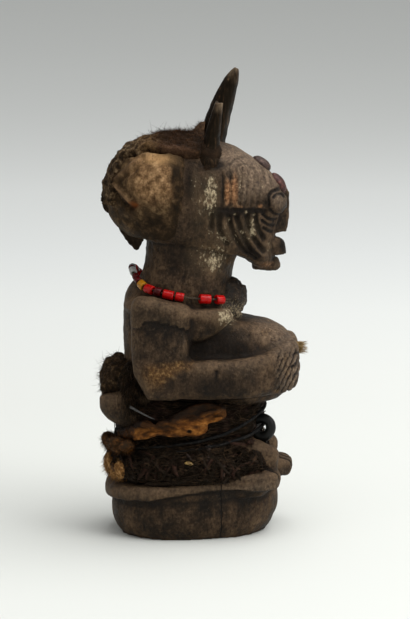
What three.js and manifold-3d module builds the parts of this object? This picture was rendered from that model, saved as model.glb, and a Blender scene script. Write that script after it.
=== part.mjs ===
// A horned power figure carved from one block of wood, with its horns, hides, beads, cords and feathers.
// Units are millimetres. The figure faces +X, +Z is up, and the origin is the middle of its underside.
// The figure's own right side is -Y.
import * as THREE from 'three';
import { mergeVertices } from 'three/addons/utils/BufferGeometryUtils.js';
import Module from 'manifold-3d';

// Block and feet
const blockLength = 104;
const blockWidth = 74;
const blockHeight = 27;
const blockCornerRadius = 9;
const rimThickness = 11;
const rimOverhang = 2.5;
const rimRise = 6;
const footLength = 56;
const footWidth = 32;
const footHeight = 17;
const footSpread = 38;
const leftFootAhead = 9;

// Legs and hips
const hipHeight = 66;
const kneeDrop = 16;
const kneeReach = 47;
const legThickness = 18;
const legSpread = 34;
const buttockReach = 58.5;
const buttockRise = 3.5;
const buttockHeight = 21.5;

// Trunk, belly and shoulders
const trunkHeight = 98;
const backReach = 44;
const bellyReach = 63.5;
const trunkWidth = 62;

// Arms and hands
const armSpan = 83;
const armThickness = 16;
const upperArmWidth = 36;
const elbowRise = 35.5;
const elbowBehind = 31;
const forearmDepth = 25;
const handDepth = 33;
const shoulderDrop = 7;
const shoulderFall = 0.16;
const fallBehind = 25;
const fingerGrooveDepth = 1;

// Neck and head
const neckDrop = 14;
const neckDepth = 57;
const neckWidth = 47;
const chinRise = 19;
const headHeight = 80;
const headLength = 110;
const headWidth = 61;
const headBackReach = 52;
const noseWidth = 10;
const lipWidth = 19;
const lipGap = 2.4;
const eyeLength = 19;
const eyeHeight = 14;
const eyeSwelling = 3;
const scarWidth = 1.7;

// Horns
const leftHornLength = 56;
const leftHornRadius = 8.6;
const rightHornLength = 40;
const rightHornRadius = 6;
const leftHornSweep = 0.8;
const rightHornSweep = 0.42;
const leftSkullRise = 73;
const rightSkullRise = 71;
const hornSpacing = 35;
const hornAhead = 8.8;
const hornSocketDepth = 7;

// Hides, tacks and resin
const hideThickness = 2.4;
const crownHideThickness = 4.2;
const flapThickness = 2.2;
const flapLength = 15;
const flapBehind = 61.5;
const upperTackDiameter = 13;
const lowerTackDiameter = 14.5;
const tackRise = 3.6;
const resinThickness = 9;
const resinWidth = 32;
const resinHeight = 26;
const resinRise = 1;
const plugDiameter = 7.5;
const plugLength = 13;
const plugRise = 49;

// Necklace
const stringDiameter = 1.3;
const beadDiameter = 5.6;
const smallBeadDiameter = 4.4;
const beadBore = 2.2;

// Girdle, cords, ring and skirt
const girdleThickness = 3;
const girdleHeight = 26;
const stripDepth = 12;
const stripThickness = 4.6;
const cordDiameter = 2.2;
const lowerCordRise = 7.7;
const upperCordRise = 18.5;
const ringDiameter = 18;
const ringThickness = 6.4;
const ringTurn = -0.3;
const bundleWidth = 40;
const bundleDepth = 26;
const bundleHeight = 27;
const bundleRise = 31.5;
const tuftLength = 24;
const skirtDrop = 5;
const skirtThickness = 7;

// Clearances between pieces that touch
const seatGap = 0.4;
const hornSeatGap = 0.35;
const ringRoom = 1.1;

const wasm = await Module();
wasm.setup();

// Solids

// A closed geometry as a solid, each of its vertices moved out along its normal by `growth`.
function solidOf(geometry, growth = 0) {
  const bare = new THREE.BufferGeometry();
  bare.setAttribute('position', geometry.getAttribute('position').clone());
  bare.setIndex(geometry.index);
  const merged = mergeVertices(bare, 1e-4);
  if (growth) {
    merged.computeVertexNormals();
    const place = merged.attributes.position;
    const normal = merged.attributes.normal;
    for (let i = 0; i < place.count; i++) {
      place.setXYZ(
        i,
        place.getX(i) + growth * normal.getX(i),
        place.getY(i) + growth * normal.getY(i),
        place.getZ(i) + growth * normal.getZ(i),
      );
    }
  }
  return new wasm.Manifold(new wasm.Mesh({
    numProp: 3,
    vertProperties: merged.attributes.position.array,
    triVerts: new Uint32Array(merged.index.array),
  }));
}

function joined(solids) {
  return solids.reduce((whole, solid) => whole.add(solid));
}

function cutBy(solid, cutters) {
  return cutters.reduce((rest, cutter) => rest.subtract(cutter), solid);
}

function geometryOf(solid) {
  const mesh = solid.getMesh();
  const geometry = new THREE.BufferGeometry();
  geometry.setAttribute('position', new THREE.BufferAttribute(new Float32Array(mesh.vertProperties), 3));
  geometry.setIndex(new THREE.BufferAttribute(new Uint32Array(mesh.triVerts), 1));
  geometry.computeVertexNormals();
  return geometry;
}

// A closed skin over a row of rings with the same number of points, with a fan at each end.
function loft(rings) {
  const sides = rings[0].length;
  const points = rings.flat();
  const faces = [];
  for (let r = 0; r + 1 < rings.length; r++) {
    for (let s = 0; s < sides; s++) {
      const a = r * sides + s;
      const b = r * sides + (s + 1) % sides;
      faces.push(a, b, b + sides, a, b + sides, a + sides);
    }
  }
  const middle = (ring) => ring.reduce((sum, p) => sum.add(p), new THREE.Vector3()).divideScalar(sides);
  const first = points.push(middle(rings[0])) - 1;
  const last = points.push(middle(rings[rings.length - 1])) - 1;
  const top = (rings.length - 1) * sides;
  for (let s = 0; s < sides; s++) {
    const next = (s + 1) % sides;
    faces.push(first, next, s);
    faces.push(last, top + s, top + next);
  }
  const geometry = new THREE.BufferGeometry().setFromPoints(points);
  geometry.setIndex(faces);
  return geometry;
}

// A signed power, which squares the corners of an ellipse when it is under one.
function bent(value, power) {
  return Math.sign(value) * Math.abs(value) ** power;
}

// A point of a level slice, at an angle from straight ahead. The row is [height, back, front, half width],
// and `widest` is where the slice is widest, as a share of its length from the back.
function slicePoint([height, back, front, half], turn, { widest = 0.45, square = 2.2 } = {}) {
  const middle = back + widest * (front - back);
  const along = bent(Math.cos(turn), 2 / square);
  const x = middle + along * (along > 0 ? front - middle : middle - back);
  return new THREE.Vector3(x, half * bent(Math.sin(turn), 2 / square), height);
}

// Level slices from the lowest up, which may stand off to one side and climb towards the front.
function stack(rows, { sides = 18, centreY = 0, climb = 0, ...form } = {}) {
  return loft(rows.map((row) => Array.from({ length: sides }, (_, s) => {
    const point = slicePoint(row, (2 * Math.PI * (s + 0.5)) / sides, form);
    return point.add(new THREE.Vector3(0, centreY, climb * point.x));
  })));
}

// A limb through stations [x, y, z, half thickness, half depth]; the depth is upright.
function limb(stations, { sides = 10, square = 2.6 } = {}) {
  const centres = stations.map(([x, y, z]) => new THREE.Vector3(x, y, z));
  const path = new THREE.CatmullRomCurve3(centres);
  const upright = new THREE.Vector3(0, 0, 1);
  return loft(stations.map(([, , , thick, deep], i) => {
    const ahead = path.getTangent(i / (stations.length - 1)).setZ(0).normalize();
    const across = new THREE.Vector3().crossVectors(upright, ahead);
    return Array.from({ length: sides }, (_, s) => {
      const turn = (2 * Math.PI * (s + 0.5)) / sides;
      return centres[i].clone()
        .addScaledVector(across, thick * bent(Math.cos(turn), 2 / square))
        .addScaledVector(upright, deep * bent(Math.sin(turn), 2 / square));
    });
  }));
}

// A round tapering body along a line of points, with a radius at each.
function taper(points, radii, sides = 8) {
  const path = new THREE.CatmullRomCurve3(points);
  const side = new THREE.Vector3(0, 1, 0);
  return loft(points.map((point, i) => {
    const ahead = path.getTangent(i / (points.length - 1)).normalize();
    const across = new THREE.Vector3().crossVectors(side, ahead).normalize();
    const other = new THREE.Vector3().crossVectors(ahead, across);
    return Array.from({ length: sides }, (_, s) => {
      const turn = (2 * Math.PI * s) / sides;
      return point.clone()
        .addScaledVector(across, radii[i] * Math.cos(turn))
        .addScaledVector(other, radii[i] * Math.sin(turn));
    });
  }));
}

// An egg-shaped lump at a point, with its three half sizes, turned about the upright axis.
function lump(centre, halves, { turn = 0, lean = 0, sides = 9, rings = 5 } = {}) {
  return new THREE.SphereGeometry(1, sides, rings)
    .rotateX(Math.PI / 2)
    .scale(...halves)
    .rotateY(lean)
    .rotateZ(turn)
    .translate(...centre);
}

// Head

const trunkLow = hipHeight - 4;
const neckBase = trunkLow + trunkHeight - neckDrop;
const chinHeight = neckBase + chinRise;

// Slices of the bare head, as shares of its height, of its length from the back and of its width.
const headShares = [
  [0.00, 0.84, 0.905, 0.13], [0.05, 0.79, 0.92, 0.23], [0.12, 0.705, 0.92, 0.32], [0.20, 0.31, 0.92, 0.385],
  [0.25, 0.17, 0.925, 0.42], [0.31, 0.09, 0.93, 0.45], [0.40, 0.03, 0.945, 0.48], [0.52, 0.0, 0.97, 0.5],
  [0.62, 0.0, 0.965, 0.5], [0.71, 0.012, 0.92, 0.487], [0.80, 0.045, 0.86, 0.455], [0.88, 0.09, 0.78, 0.395],
  [0.95, 0.18, 0.685, 0.295], [1.0, 0.29, 0.55, 0.13],
];
const headRows = headShares.map(([up, back, front, half]) => [
  chinHeight + up * headHeight,
  back * headLength - headBackReach,
  front * headLength - headBackReach,
  half * headWidth,
]);
const headForm = { widest: 0.42, square: 2.4, sides: 18 };

// A height on the head and a place along it, both as shares, turned into a point of its left surface.
function headPoint(along, up) {
  const height = chinHeight + up * headHeight;
  const above = Math.max(1, headRows.findIndex((row) => row[0] >= height));
  const [low, high] = [headRows[above - 1], headRows[above]];
  const mix = (height - low[0]) / (high[0] - low[0]);
  const [, back, front, half] = low.map((value, i) => value + mix * (high[i] - value));
  const x = along * headLength - headBackReach;
  const middle = back + headForm.widest * (front - back);
  const reach = Math.min(0.995, Math.abs(x - middle) / (x > middle ? front - middle : middle - back));
  const y = half * (1 - reach ** headForm.square) ** (1 / headForm.square);
  return new THREE.Vector3(x, y, height);
}

// A square blade carried corner down along a path.
function groove(path, width, steps) {
  const corners = [[1, 0], [0, 1], [-1, 0], [0, -1]].map(
    ([x, y]) => new THREE.Vector2(x, y).multiplyScalar(width / 2),
  );
  return new THREE.ExtrudeGeometry(new THREE.Shape(corners), { steps, extrudePath: path });
}

// A cut that follows the head through shares [along, up], on the left for side 1 and the right for -1.
function scar(side, shares, width = scarWidth) {
  const points = shares.map(([along, up]) => headPoint(along, up).multiply(new THREE.Vector3(1, side, 1)));
  return groove(new THREE.CatmullRomCurve3(points), width, points.length - 1);
}

function noseForm() {
  const tip = headLength - headBackReach;
  const low = chinHeight + 0.285 * headHeight;
  const high = chinHeight + 0.58 * headHeight;
  return stack([
    [low, tip - 16, tip - 1.2, noseWidth * 0.55],
    [low + 4, tip - 16, tip + 0.2, noseWidth * 0.5],
    [low + 10, tip - 16, tip + 0.6, noseWidth * 0.38],
    [high, tip - 16, tip + 0.8, noseWidth * 0.28],
    [high + 4, tip - 18, tip - 1, noseWidth * 0.2],
  ], { sides: 8, square: 1.7, widest: 0.4 });
}

function mouthForms() {
  const reach = headLength - headBackReach;
  const parting = chinHeight + 0.1 * headHeight;
  const upper = stack([
    [parting + lipGap / 2, reach - 20, reach - 0.4, lipWidth * 0.5],
    [parting + lipGap / 2 + 7, reach - 20, reach - 2.2, lipWidth * 0.42],
    [parting + lipGap / 2 + 10, reach - 20, reach - 5.5, lipWidth * 0.3],
  ], { sides: 8, square: 2.6, widest: 0.5 });
  const lower = stack([
    [chinHeight - 0.4, reach - 22, reach - 6, lipWidth * 0.4],
    [chinHeight + 1.6, reach - 22, reach - 4.4, lipWidth * 0.47],
    [parting - lipGap / 2, reach - 20, reach - 6.5, lipWidth * 0.42],
  ], { sides: 8, square: 2.6, widest: 0.5 });
  return [upper, lower];
}

// The eye is a swelling inside a carved ring, in front of the temple.
const eyeAlong = 0.905;
const eyeUp = 0.545;

function eyeForm(side) {
  const centre = headPoint(eyeAlong, eyeUp).multiply(new THREE.Vector3(1, side, 1));
  const halves = [eyeLength / 2, eyeSwelling, eyeHeight / 2];
  return lump(centre.toArray(), halves, { turn: side * -0.8, sides: 10 });
}

// Temples: upright cuts above a level line. Cheeks: curved cuts that sweep down to the jaw.
function faceScars(side) {
  const line = 0.525;
  const cuts = [scar(side, [[0.56, line], [0.66, line], [0.75, line], [0.83, line - 0.005]])];
  for (let i = 0; i < 4; i++) {
    const along = 0.64 + 0.06 * i;
    const top = 0.83 - 0.012 * i;
    cuts.push(scar(side, [[along - 0.005, line + 0.05], [along + 0.008, line + 0.16], [along, top]]));
  }
  for (let i = 0; i < 4; i++) {
    const start = 0.585 + 0.085 * i;
    const drop = 0.2 + 0.04 * i;
    cuts.push(scar(side, [
      [start, line - 0.045],
      [start + 0.012, line - 0.045 - 0.4 * drop],
      [start + 0.05, line - 0.045 - 0.75 * drop],
      [start + 0.11, line - 0.045 - 1.05 * drop],
    ].map(([along, up]) => [Math.min(along, 0.9), Math.max(up, 0.08)])));
  }
  return cuts;
}

// Neck, trunk and arms

const elbowHeight = hipHeight + elbowRise;
const shoulderTop = trunkLow + trunkHeight - shoulderDrop;
const neckRows = [
  [-8, -0.66, 0.43, 0.56], [9, -0.615, 0.41, 0.52], [20, -0.545, 0.425, 0.49], [28, -0.52, 0.465, 0.49],
  [46, -0.5, 0.5, 0.47],
].map(([up, back, front, half]) => [neckBase + up, back * neckDepth, front * neckDepth, half * neckWidth]);

// Slices of the trunk, as shares of its height, of the back's and the belly's reach, and of its width.
const trunkRows = [
  [0.00, 0.78, 0.47, 0.40], [0.18, 0.84, 0.58, 0.42], [0.235, 0.90, 0.84, 0.45], [0.31, 0.94, 0.94, 0.48],
  [0.42, 0.98, 1.0, 0.50], [0.53, 0.99, 1.0, 0.485], [0.635, 1.0, 0.93, 0.445], [0.70, 1.0, 0.80, 0.40],
  [0.755, 1.0, 0.60, 0.37], [0.79, 1.0, 0.45, 0.42], [0.825, 1.0, 0.41, 0.60], [0.85, 0.99, 0.40, 0.58],
  [0.885, 0.97, 0.385, 0.45], [0.93, 0.93, 0.375, 0.33], [0.965, 0.86, 0.36, 0.25], [1.0, 0.76, 0.33, 0.18],
].map(([up, back, front, half]) => [
  trunkLow + up * trunkHeight,
  -back * backReach,
  front * bellyReach,
  half * trunkWidth,
]);

// The shoulders fall towards the chest by a share of the way ahead of the spine, the more the higher they are.
function fallingShoulders(form) {
  const spots = form.getAttribute('position');
  const low = trunkLow + 0.7 * trunkHeight;
  const high = trunkLow + 0.885 * trunkHeight;
  for (let i = 0; i < spots.count; i++) {
    const share = THREE.MathUtils.smoothstep(spots.getZ(i), low, high);
    const fall = shoulderFall * share * Math.max(0, spots.getX(i) + fallBehind);
    spots.setZ(i, spots.getZ(i) - fall);
  }
  return form;
}

function upperArm(side) {
  const centreY = side * (armSpan - armThickness) / 2;
  const low = elbowHeight - forearmDepth / 2;
  const span = shoulderTop - low;
  const backEdge = -upperArmWidth - 2.5;
  const thick = armThickness / 2;
  const rows = [
    [0, 10, -7, 0.7], [0.06, 7.5, -3, 1], [0.37, 0.5, 0, 1], [0.77, 0, 0, 1], [0.87, 0, -4, 1],
    [0.95, 1, -13, 0.85], [1, 4.5, -22, 0.4],
  ];
  return stack(
    rows.map(([up, back, front, half]) => [low + up * span, backEdge + back, front - 2.5, half * thick]),
    { sides: 10, widest: 0.5, square: 3.2, centreY },
  );
}

// From the elbow along the side of the belly; the hand closes on its front.
const handStart = 0.77;
function forearm(side) {
  const out = (armSpan - armThickness) / 2;
  const reach = bellyReach + elbowBehind;
  const thick = armThickness / 2;
  return limb([
    [0.01, 1, 0, 0.7, 0.4], [0.05, 1, 0, 1, 0.48], [0.4, 1.06, 0, 1, 0.49], [0.62, 1.0, 0.5, 1, 0.5],
    [handStart, 0.84, 1.5, 1, 0.52], [0.88, 0.62, 3.5, 0.95, 0.62], [0.955, 0.38, 5.5, 0.8, 0.66],
    [0.99, 0.2, 6, 0.45, 0.5],
  ].map(([ahead, away, rise, wide, deep]) => [
    ahead * reach - elbowBehind, side * away * out, elbowHeight + rise, wide * thick, deep * forearmDepth,
  ]), { sides: 10 });
}

// Three grooves part the four fingers of each hand.
function fingerGrooves(side) {
  return [-1, 0, 1].map((finger) => {
    const height = elbowHeight + 6 + finger * handDepth * 0.2;
    const from = new THREE.Vector3(bellyReach - 15, side * (armSpan / 2 - 6), height);
    const over = new THREE.Vector3(bellyReach - 0.5, side * (armSpan / 2 - 19.5), height + 0.5);
    const to = new THREE.Vector3(bellyReach + 4.5, side * 3, height + 1);
    return groove(new THREE.QuadraticBezierCurve3(from, over, to), 2 * fingerGrooveDepth, 3);
  });
}

// Hips, legs and feet

const kneeHeight = hipHeight - kneeDrop;

function buttock(side) {
  const low = hipHeight + buttockRise;
  const rows = [
    [0, -10, 0.75], [0.18, -4, 0.95], [0.5, 0, 1], [0.8, 0, 1], [1, -13, 0.75],
  ];
  return stack(
    rows.map(([up, back, half]) => [low + up * buttockHeight, -buttockReach - back, -18, half * 14]),
    { sides: 10, widest: 0.5, square: 2.5, centreY: side * 13 },
  );
}

function leg(side) {
  const y = side * legSpread / 2;
  const r = legThickness / 2;
  const thigh = taper([
    new THREE.Vector3(-16, y * 0.6, hipHeight + 2),
    new THREE.Vector3(4, y * 0.85, hipHeight),
    new THREE.Vector3(26, y, kneeHeight + 5),
    new THREE.Vector3(kneeReach - 5, y, kneeHeight),
    new THREE.Vector3(kneeReach + 3, y, kneeHeight - 2),
  ], [r * 1.3, r * 1.4, r * 1.15, r * 0.92, r * 0.5], 8);
  const shin = stack([
    [blockHeight + rimThickness - 3, kneeReach - 19, kneeReach + 1, r * 0.95],
    [kneeHeight - 6, kneeReach - 17, kneeReach + 5, r * 0.95],
    [kneeHeight + 1, kneeReach - 15, kneeReach + 6, r * 0.8],
    [kneeHeight + 6, kneeReach - 12, kneeReach + 3, r * 0.5],
  ], { sides: 8, widest: 0.5, square: 2.6, centreY: y });
  return [thigh, shin];
}

function foot(side) {
  const ahead = side > 0 ? leftFootAhead : 0;
  const toe = blockLength / 2 + 1 + ahead;
  const low = blockHeight - 1;
  const rows = [
    [0, 0.3, -9, 0.72], [0.35, 0.05, -2, 0.95], [0.8, 0.03, 0, 1], [1, 0.2, -8, 0.65],
  ];
  return stack(
    rows.map(([up, heel, tip, half]) => [
      low + up * footHeight, toe - footLength * (1 - heel), toe + tip, half * footWidth / 2,
    ]),
    { sides: 10, widest: 0.62, square: 2.6, centreY: side * footSpread / 2 },
  );
}

// The block's sides round in under it, and a worn rim stands out around its top.
const blockMiddle = 0.5;
function blockSlice(height, inset, ahead = 0) {
  return [
    height,
    -blockLength / 2 + blockMiddle + inset,
    blockLength / 2 + blockMiddle - inset + ahead,
    blockWidth / 2 - inset * 0.8,
  ];
}

function block() {
  const r = blockCornerRadius;
  return stack([
    blockSlice(0, r * 0.75, -r * 0.35),
    blockSlice(r * 0.3, r * 0.38, -r * 0.3),
    blockSlice(r, r * 0.08, -r * 0.2),
    blockSlice(blockHeight * 0.65, 0),
    blockSlice(blockHeight + 2, 0.6),
  ], { widest: 0.36, square: 2.15, sides: 20 });
}

function rim() {
  const climb = rimRise / blockLength;
  const low = blockHeight - rimRise / 4;
  return stack([
    blockSlice(low, 1.5, -2),
    blockSlice(low + 1.5, -rimOverhang, -4),
    blockSlice(low + rimThickness * 0.6, -rimOverhang - 0.6, -5),
    blockSlice(low + rimThickness * 0.9, -rimOverhang + 1.6, -5),
    blockSlice(low + rimThickness, 4, -2),
  ], { widest: 0.36, square: 2.3, sides: 20, climb });
}

// Horns

// The middle line of a horn, which stands in a socket in the skull and sweeps forward.
function hornPoints(side, rise, length, sweep) {
  return [0, 0.16, 0.4, 0.65, 0.86, 1].map((share) => new THREE.Vector3(
    hornAhead + sweep * length * (0.22 * share + 0.17 * share ** 2),
    side * hornSpacing / 2,
    chinHeight + rise - hornSocketDepth + length * share,
  ));
}

const leftHorn = taper(
  hornPoints(1, leftSkullRise, leftHornLength, leftHornSweep),
  [1, 0.98, 0.9, 0.76, 0.54, 0.33].map((share) => share * leftHornRadius),
);
const rightHorn = taper(
  hornPoints(-1, rightSkullRise, rightHornLength, rightHornSweep),
  [1, 0.98, 0.84, 0.68, 0.52, 0.38].map((share) => share * rightHornRadius),
);

const hornSeats = [leftHorn, rightHorn].map((form) => solidOf(form, hornSeatGap));

// The carved wood, whole; grown by the clearance, it is the seat that its neighbours are cut by

const bothSides = [1, -1];

function bodyForms() {
  return [
    block(), rim(), fallingShoulders(stack(trunkRows, { widest: 0.5, square: 2.3, sides: 14 })),
    ...bothSides.map(upperArm), ...bothSides.map(forearm), ...bothSides.map(buttock),
    ...bothSides.flatMap(leg), ...bothSides.map(foot),
  ];
}

function headForms() {
  return [
    stack(neckRows, { square: 2.2, sides: 14 }), stack(headRows, headForm), noseForm(), ...mouthForms(),
    ...bothSides.map(eyeForm),
  ];
}

const bodySolid = joined(bodyForms().map((form) => solidOf(form)));
const carvedSeat = joined([...bodyForms(), ...headForms()].map((form) => solidOf(form, seatGap)));

// Horn, plug and carving cuts in the wood

const plugForm = taper(
  [-6, -3, 0, plugLength - 6].map(
    (ahead) => new THREE.Vector3(bellyReach + ahead, 0, hipHeight + plugRise),
  ),
  [0.38, 0.4, 0.42, 0.6].map((share) => share * plugDiameter),
  8,
);
const carvedFigure = cutBy(
  joined([bodySolid, ...headForms().map((form) => solidOf(form))]),
  [
    ...hornSeats, solidOf(plugForm, seatGap),
    ...bothSides.flatMap((side) => [...faceScars(side), ...fingerGrooves(side)]).map((cut) => solidOf(cut)),
  ],
);

// Hides on the head

// A slab across the whole head, whose outline is given in [x, z].
function slab(outline, halfWidth = headWidth) {
  return new THREE.ExtrudeGeometry(new THREE.Shape(outline.map(([x, z]) => new THREE.Vector2(x, z))), {
    depth: 2 * halfWidth, bevelEnabled: false,
  }).rotateX(Math.PI / 2).translate(0, halfWidth, 0);
}

// The seam between the two hides, from the back of the skull over to the horns, in [x, z].
const seam = [[0, 0.56], [0.032, 0.73], [0.085, 0.885], [0.21, 0.945], [0.38, 0.93], [0.455, 0.905]].map(
  ([along, up]) => [along * headLength - headBackReach, chinHeight + up * headHeight],
);
const farBack = -headBackReach - 12;
const hideFront = 0.43 * headLength - headBackReach;
const crownFront = 0.545 * headLength - headBackReach;

const skull = stack(headRows.filter((_, i) => i % 2 === 1 || i === 0), { ...headForm, sides: 14 });

// A layer of hide follows the skull inside one slab.
function hide(thickness, outline) {
  const layer = solidOf(skull, seatGap + thickness).intersect(solidOf(slab(outline)));
  return cutBy(layer, [carvedSeat, ...hornSeats]);
}

const headHide = hide(hideThickness, [
  [farBack, chinHeight + 0.22 * headHeight],
  [hideFront - 9, chinHeight + 0.22 * headHeight],
  [hideFront - 2, chinHeight + 0.5 * headHeight],
  [hideFront, seam[5][1] - 3],
  ...seam.slice(1, 5).reverse().map(([x, z]) => [x + seatGap, z - seatGap]),
  [seam[0][0] + seatGap, seam[0][1] - seatGap],
  [farBack, seam[0][1] - seatGap],
]);

const crownHide = hide(crownHideThickness, [
  [farBack, seam[0][1]],
  ...seam,
  [crownFront, seam[5][1] + 1],
  [crownFront, chinHeight + 1.2 * headHeight],
  [farBack, chinHeight + 1.2 * headHeight],
]);

// A ragged tag of hide under the back of the skull.
function napeFlap() {
  const top = chinHeight + 0.31 * headHeight;
  const outline = [
    [-0.55, 0.35], [-0.43, 0], [-0.07, -0.62], [0.06, -0.82],
    [0.11, -0.58], [0.36, -0.14], [0.46, 0.1], [0, 0.3],
  ];
  const corners = outline.map(([x, z]) => new THREE.Vector2(x * flapLength, z * flapLength));
  const tag = new THREE.ExtrudeGeometry(new THREE.Shape(corners), {
    depth: flapThickness, bevelEnabled: false,
  });
  tag.rotateX(Math.PI / 2).rotateZ(-0.45).translate(0.7 * headLength - headBackReach - flapBehind, -7, top);
  return cutBy(solidOf(tag), [solidOf(skull, seatGap * 2 + hideThickness), carvedSeat]);
}

// Tacks on the forehead

// A place on the middle of the forehead and the way it faces, from a share of the head's height.
function browPoint(up) {
  const above = headShares.findIndex((row) => row[0] >= up);
  const [low, high] = [headShares[above - 1], headShares[above]];
  const mix = (up - low[0]) / (high[0] - low[0]);
  const front = (low[2] + mix * (high[2] - low[2])) * headLength - headBackReach;
  const run = (high[2] - low[2]) * headLength;
  const rise = (high[0] - low[0]) * headHeight;
  return {
    point: new THREE.Vector3(front, 0, chinHeight + up * headHeight),
    lean: Math.atan2(-run, rise),
  };
}

function tack(up, diameter) {
  const r = diameter / 2;
  const profile = [[0, -1.5], [r, -1.5], [r, 0.2], [r * 0.75, tackRise * 0.65], [0, tackRise]];
  const { point, lean } = browPoint(up);
  const head = new THREE.LatheGeometry(profile.map(([x, y]) => new THREE.Vector2(x, y)), 10);
  head.rotateX(Math.PI / 2).rotateY(Math.PI / 2 - lean).translate(...point.toArray());
  return solidOf(head).subtract(carvedSeat);
}

// Girdle, bundle, tufts and skirt

// The outline of the packed girdle at the hips, grown outwards, at an angle from straight ahead.
function hipPoint(turn, out = 0) {
  const back = -backReach - girdleThickness - out;
  const front = bellyReach * 0.62 + girdleThickness + out;
  const half = trunkWidth / 2 + girdleThickness * 0.4 + out;
  return slicePoint([0, back, front, half], turn, { widest: 0.47, square: 2.4 });
}

function hipStack(rows, sides) {
  return loft(rows.map(([height, out]) => Array.from({ length: sides }, (_, s) => {
    const point = hipPoint((2 * Math.PI * (s + 0.5)) / sides, out);
    return point.setZ(height);
  })));
}

const skirtTop = hipHeight - skirtDrop;
const skirtHeight = skirtTop - blockHeight - rimThickness + 3;
const girdleLow = skirtTop + seatGap;
const girdleForm = hipStack([
  [girdleLow, -2], [girdleLow + girdleHeight * 0.2, 0], [girdleLow + girdleHeight * 0.75, 0],
  [girdleLow + girdleHeight, -5],
], 16);
const skirtForm = hipStack([
  [skirtTop - skirtHeight, 0.15 * skirtThickness], [skirtTop - skirtHeight * 0.8, skirtThickness],
  [skirtTop - skirtHeight * 0.5, skirtThickness * 0.8], [skirtTop - skirtHeight * 0.32, -1],
  [skirtTop, -2],
], 16);
const girdleSeat = solidOf(girdleForm, seatGap);
const skirtSeat = solidOf(skirtForm, seatGap);

// A cord around the hips that climbs from the back to the front.
function girdleCord(low, high) {
  const points = Array.from({ length: 16 }, (_, i) => {
    const turn = (2 * Math.PI * i) / 16;
    const rise = (0.5 + 0.5 * Math.cos(turn)) ** 2.5;
    return hipPoint(turn, cordDiameter / 2 + seatGap).setZ(low + rise * (high - low));
  });
  return new THREE.CatmullRomCurve3(points, true);
}

function loop(curve, diameter, steps, sides) {
  return new THREE.TubeGeometry(curve, steps, diameter / 2, sides, true);
}

const lowerCord = girdleCord(skirtTop - 6.5, skirtTop + lowerCordRise);
const upperCord = girdleCord(skirtTop - 3.5, skirtTop + upperCordRise);
const cordSeats = [lowerCord, upperCord].map(
  (curve) => solidOf(loop(curve, cordDiameter + 2 * seatGap, 26, 5)),
);

// The ring hangs on the lower cord, a little to the right of the front.
const ringPlace = (() => {
  const share = 1 + ringTurn / (2 * Math.PI);
  const hang = ringDiameter / 2 - ringThickness - cordDiameter / 2 - seatGap;
  return {
    centre: lowerCord.getPoint(share).add(new THREE.Vector3(0, 0, -hang)),
    axis: lowerCord.getTangent(share).setZ(0).normalize(),
  };
})();

function onRing(geometry) {
  const turn = new THREE.Quaternion().setFromUnitVectors(new THREE.Vector3(0, 0, 1), ringPlace.axis);
  return geometry.applyQuaternion(turn).translate(...ringPlace.centre.toArray());
}

const ring = onRing(
  new THREE.TorusGeometry((ringDiameter - ringThickness) / 2, ringThickness / 2, 6, 12),
);
const recessRadius = ringDiameter / 2 + ringRoom;
const recessDepth = ringThickness + 2 * ringRoom;
const ringRecess = solidOf(onRing(
  new THREE.CylinderGeometry(recessRadius, recessRadius, recessDepth, 14).rotateX(Math.PI / 2),
));

// The strip lies over the girdle on the right hip, from a loose end in front to the back.
// Each row is an angle in degrees, the height above the girdle's foot, and shares of thickness and depth.
const stripForm = limb([
  [-52, 19.1, 0.6, 0.9], [-66, 15.6, 0.8, 0.92], [-84, 10.6, 1.05, 0.75], [-104, 8.6, 0.95, 0.75],
  [-124, 6.1, 1.05, 1], [-142, 4.4, 0.95, 1.02], [-157, 2.6, 0.7, 0.75],
].map(([turn, up, thick, deep]) => {
  const place = hipPoint(THREE.MathUtils.degToRad(turn), stripThickness / 2 + seatGap);
  return [place.x, place.y, girdleLow + up, thick * stripThickness / 2, deep * stripDepth / 2];
}), { sides: 6, square: 2.2 });
const knotPlace = hipPoint(THREE.MathUtils.degToRad(-86), stripThickness * 0.75);
const knotHalves = [0.67 * stripDepth, 0.7 * stripThickness, 0.42 * stripDepth];
const stripKnot = lump([knotPlace.x, knotPlace.y, girdleLow + 10], knotHalves, { sides: 7 });

function waistStrip() {
  return cutBy(solidOf(stripForm).add(solidOf(stripKnot)), [girdleSeat, carvedSeat, ...cordSeats]);
}

// Two lumps of furry hide behind the waist.
function backBundle() {
  const x = -backReach - 0.13 * bundleDepth;
  const middle = hipHeight + bundleRise;
  const [deep, wide, tall] = [bundleDepth / 2, bundleWidth / 2, bundleHeight / 2];
  const lumps = [
    lump([x, -1, middle], [deep, wide, tall], { rings: 6, sides: 10 }),
    lump([x + 2, -0.44 * wide, middle + 3], [deep * 0.88, wide * 0.6, tall * 0.8]),
  ];
  return cutBy(joined(lumps.map((form) => solidOf(form))), [carvedSeat, girdleSeat]);
}

const tuftSeats = [carvedSeat, skirtSeat, solidOf(stripForm, seatGap), ...cordSeats];
function furTuft(centre, halves) {
  return cutBy(solidOf(lump(centre, halves, { turn: 0.1 })), tuftSeats);
}

const upperTuft = furTuft([-backReach - 10, -9, skirtTop - 3.5], [5.4, 0.5 * tuftLength, 5.6]);
const lowerTuft = furTuft([-backReach - 7.5, -11, skirtTop - 17.5], [6.6, 0.46 * tuftLength, 6.6]);

// Necklace

// The height of the body's wood under a place, or nothing where there is none.
const bodyMesh = new THREE.Mesh(
  geometryOf(bodySolid),
  new THREE.MeshBasicMaterial({ side: THREE.DoubleSide }),
);
function bodyTop(x, y) {
  const down = new THREE.Raycaster(new THREE.Vector3(x, y, chinHeight), new THREE.Vector3(0, 0, -1));
  const [hit] = down.intersectObject(bodyMesh);
  return hit ? hit.point.z : 0;
}

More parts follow.
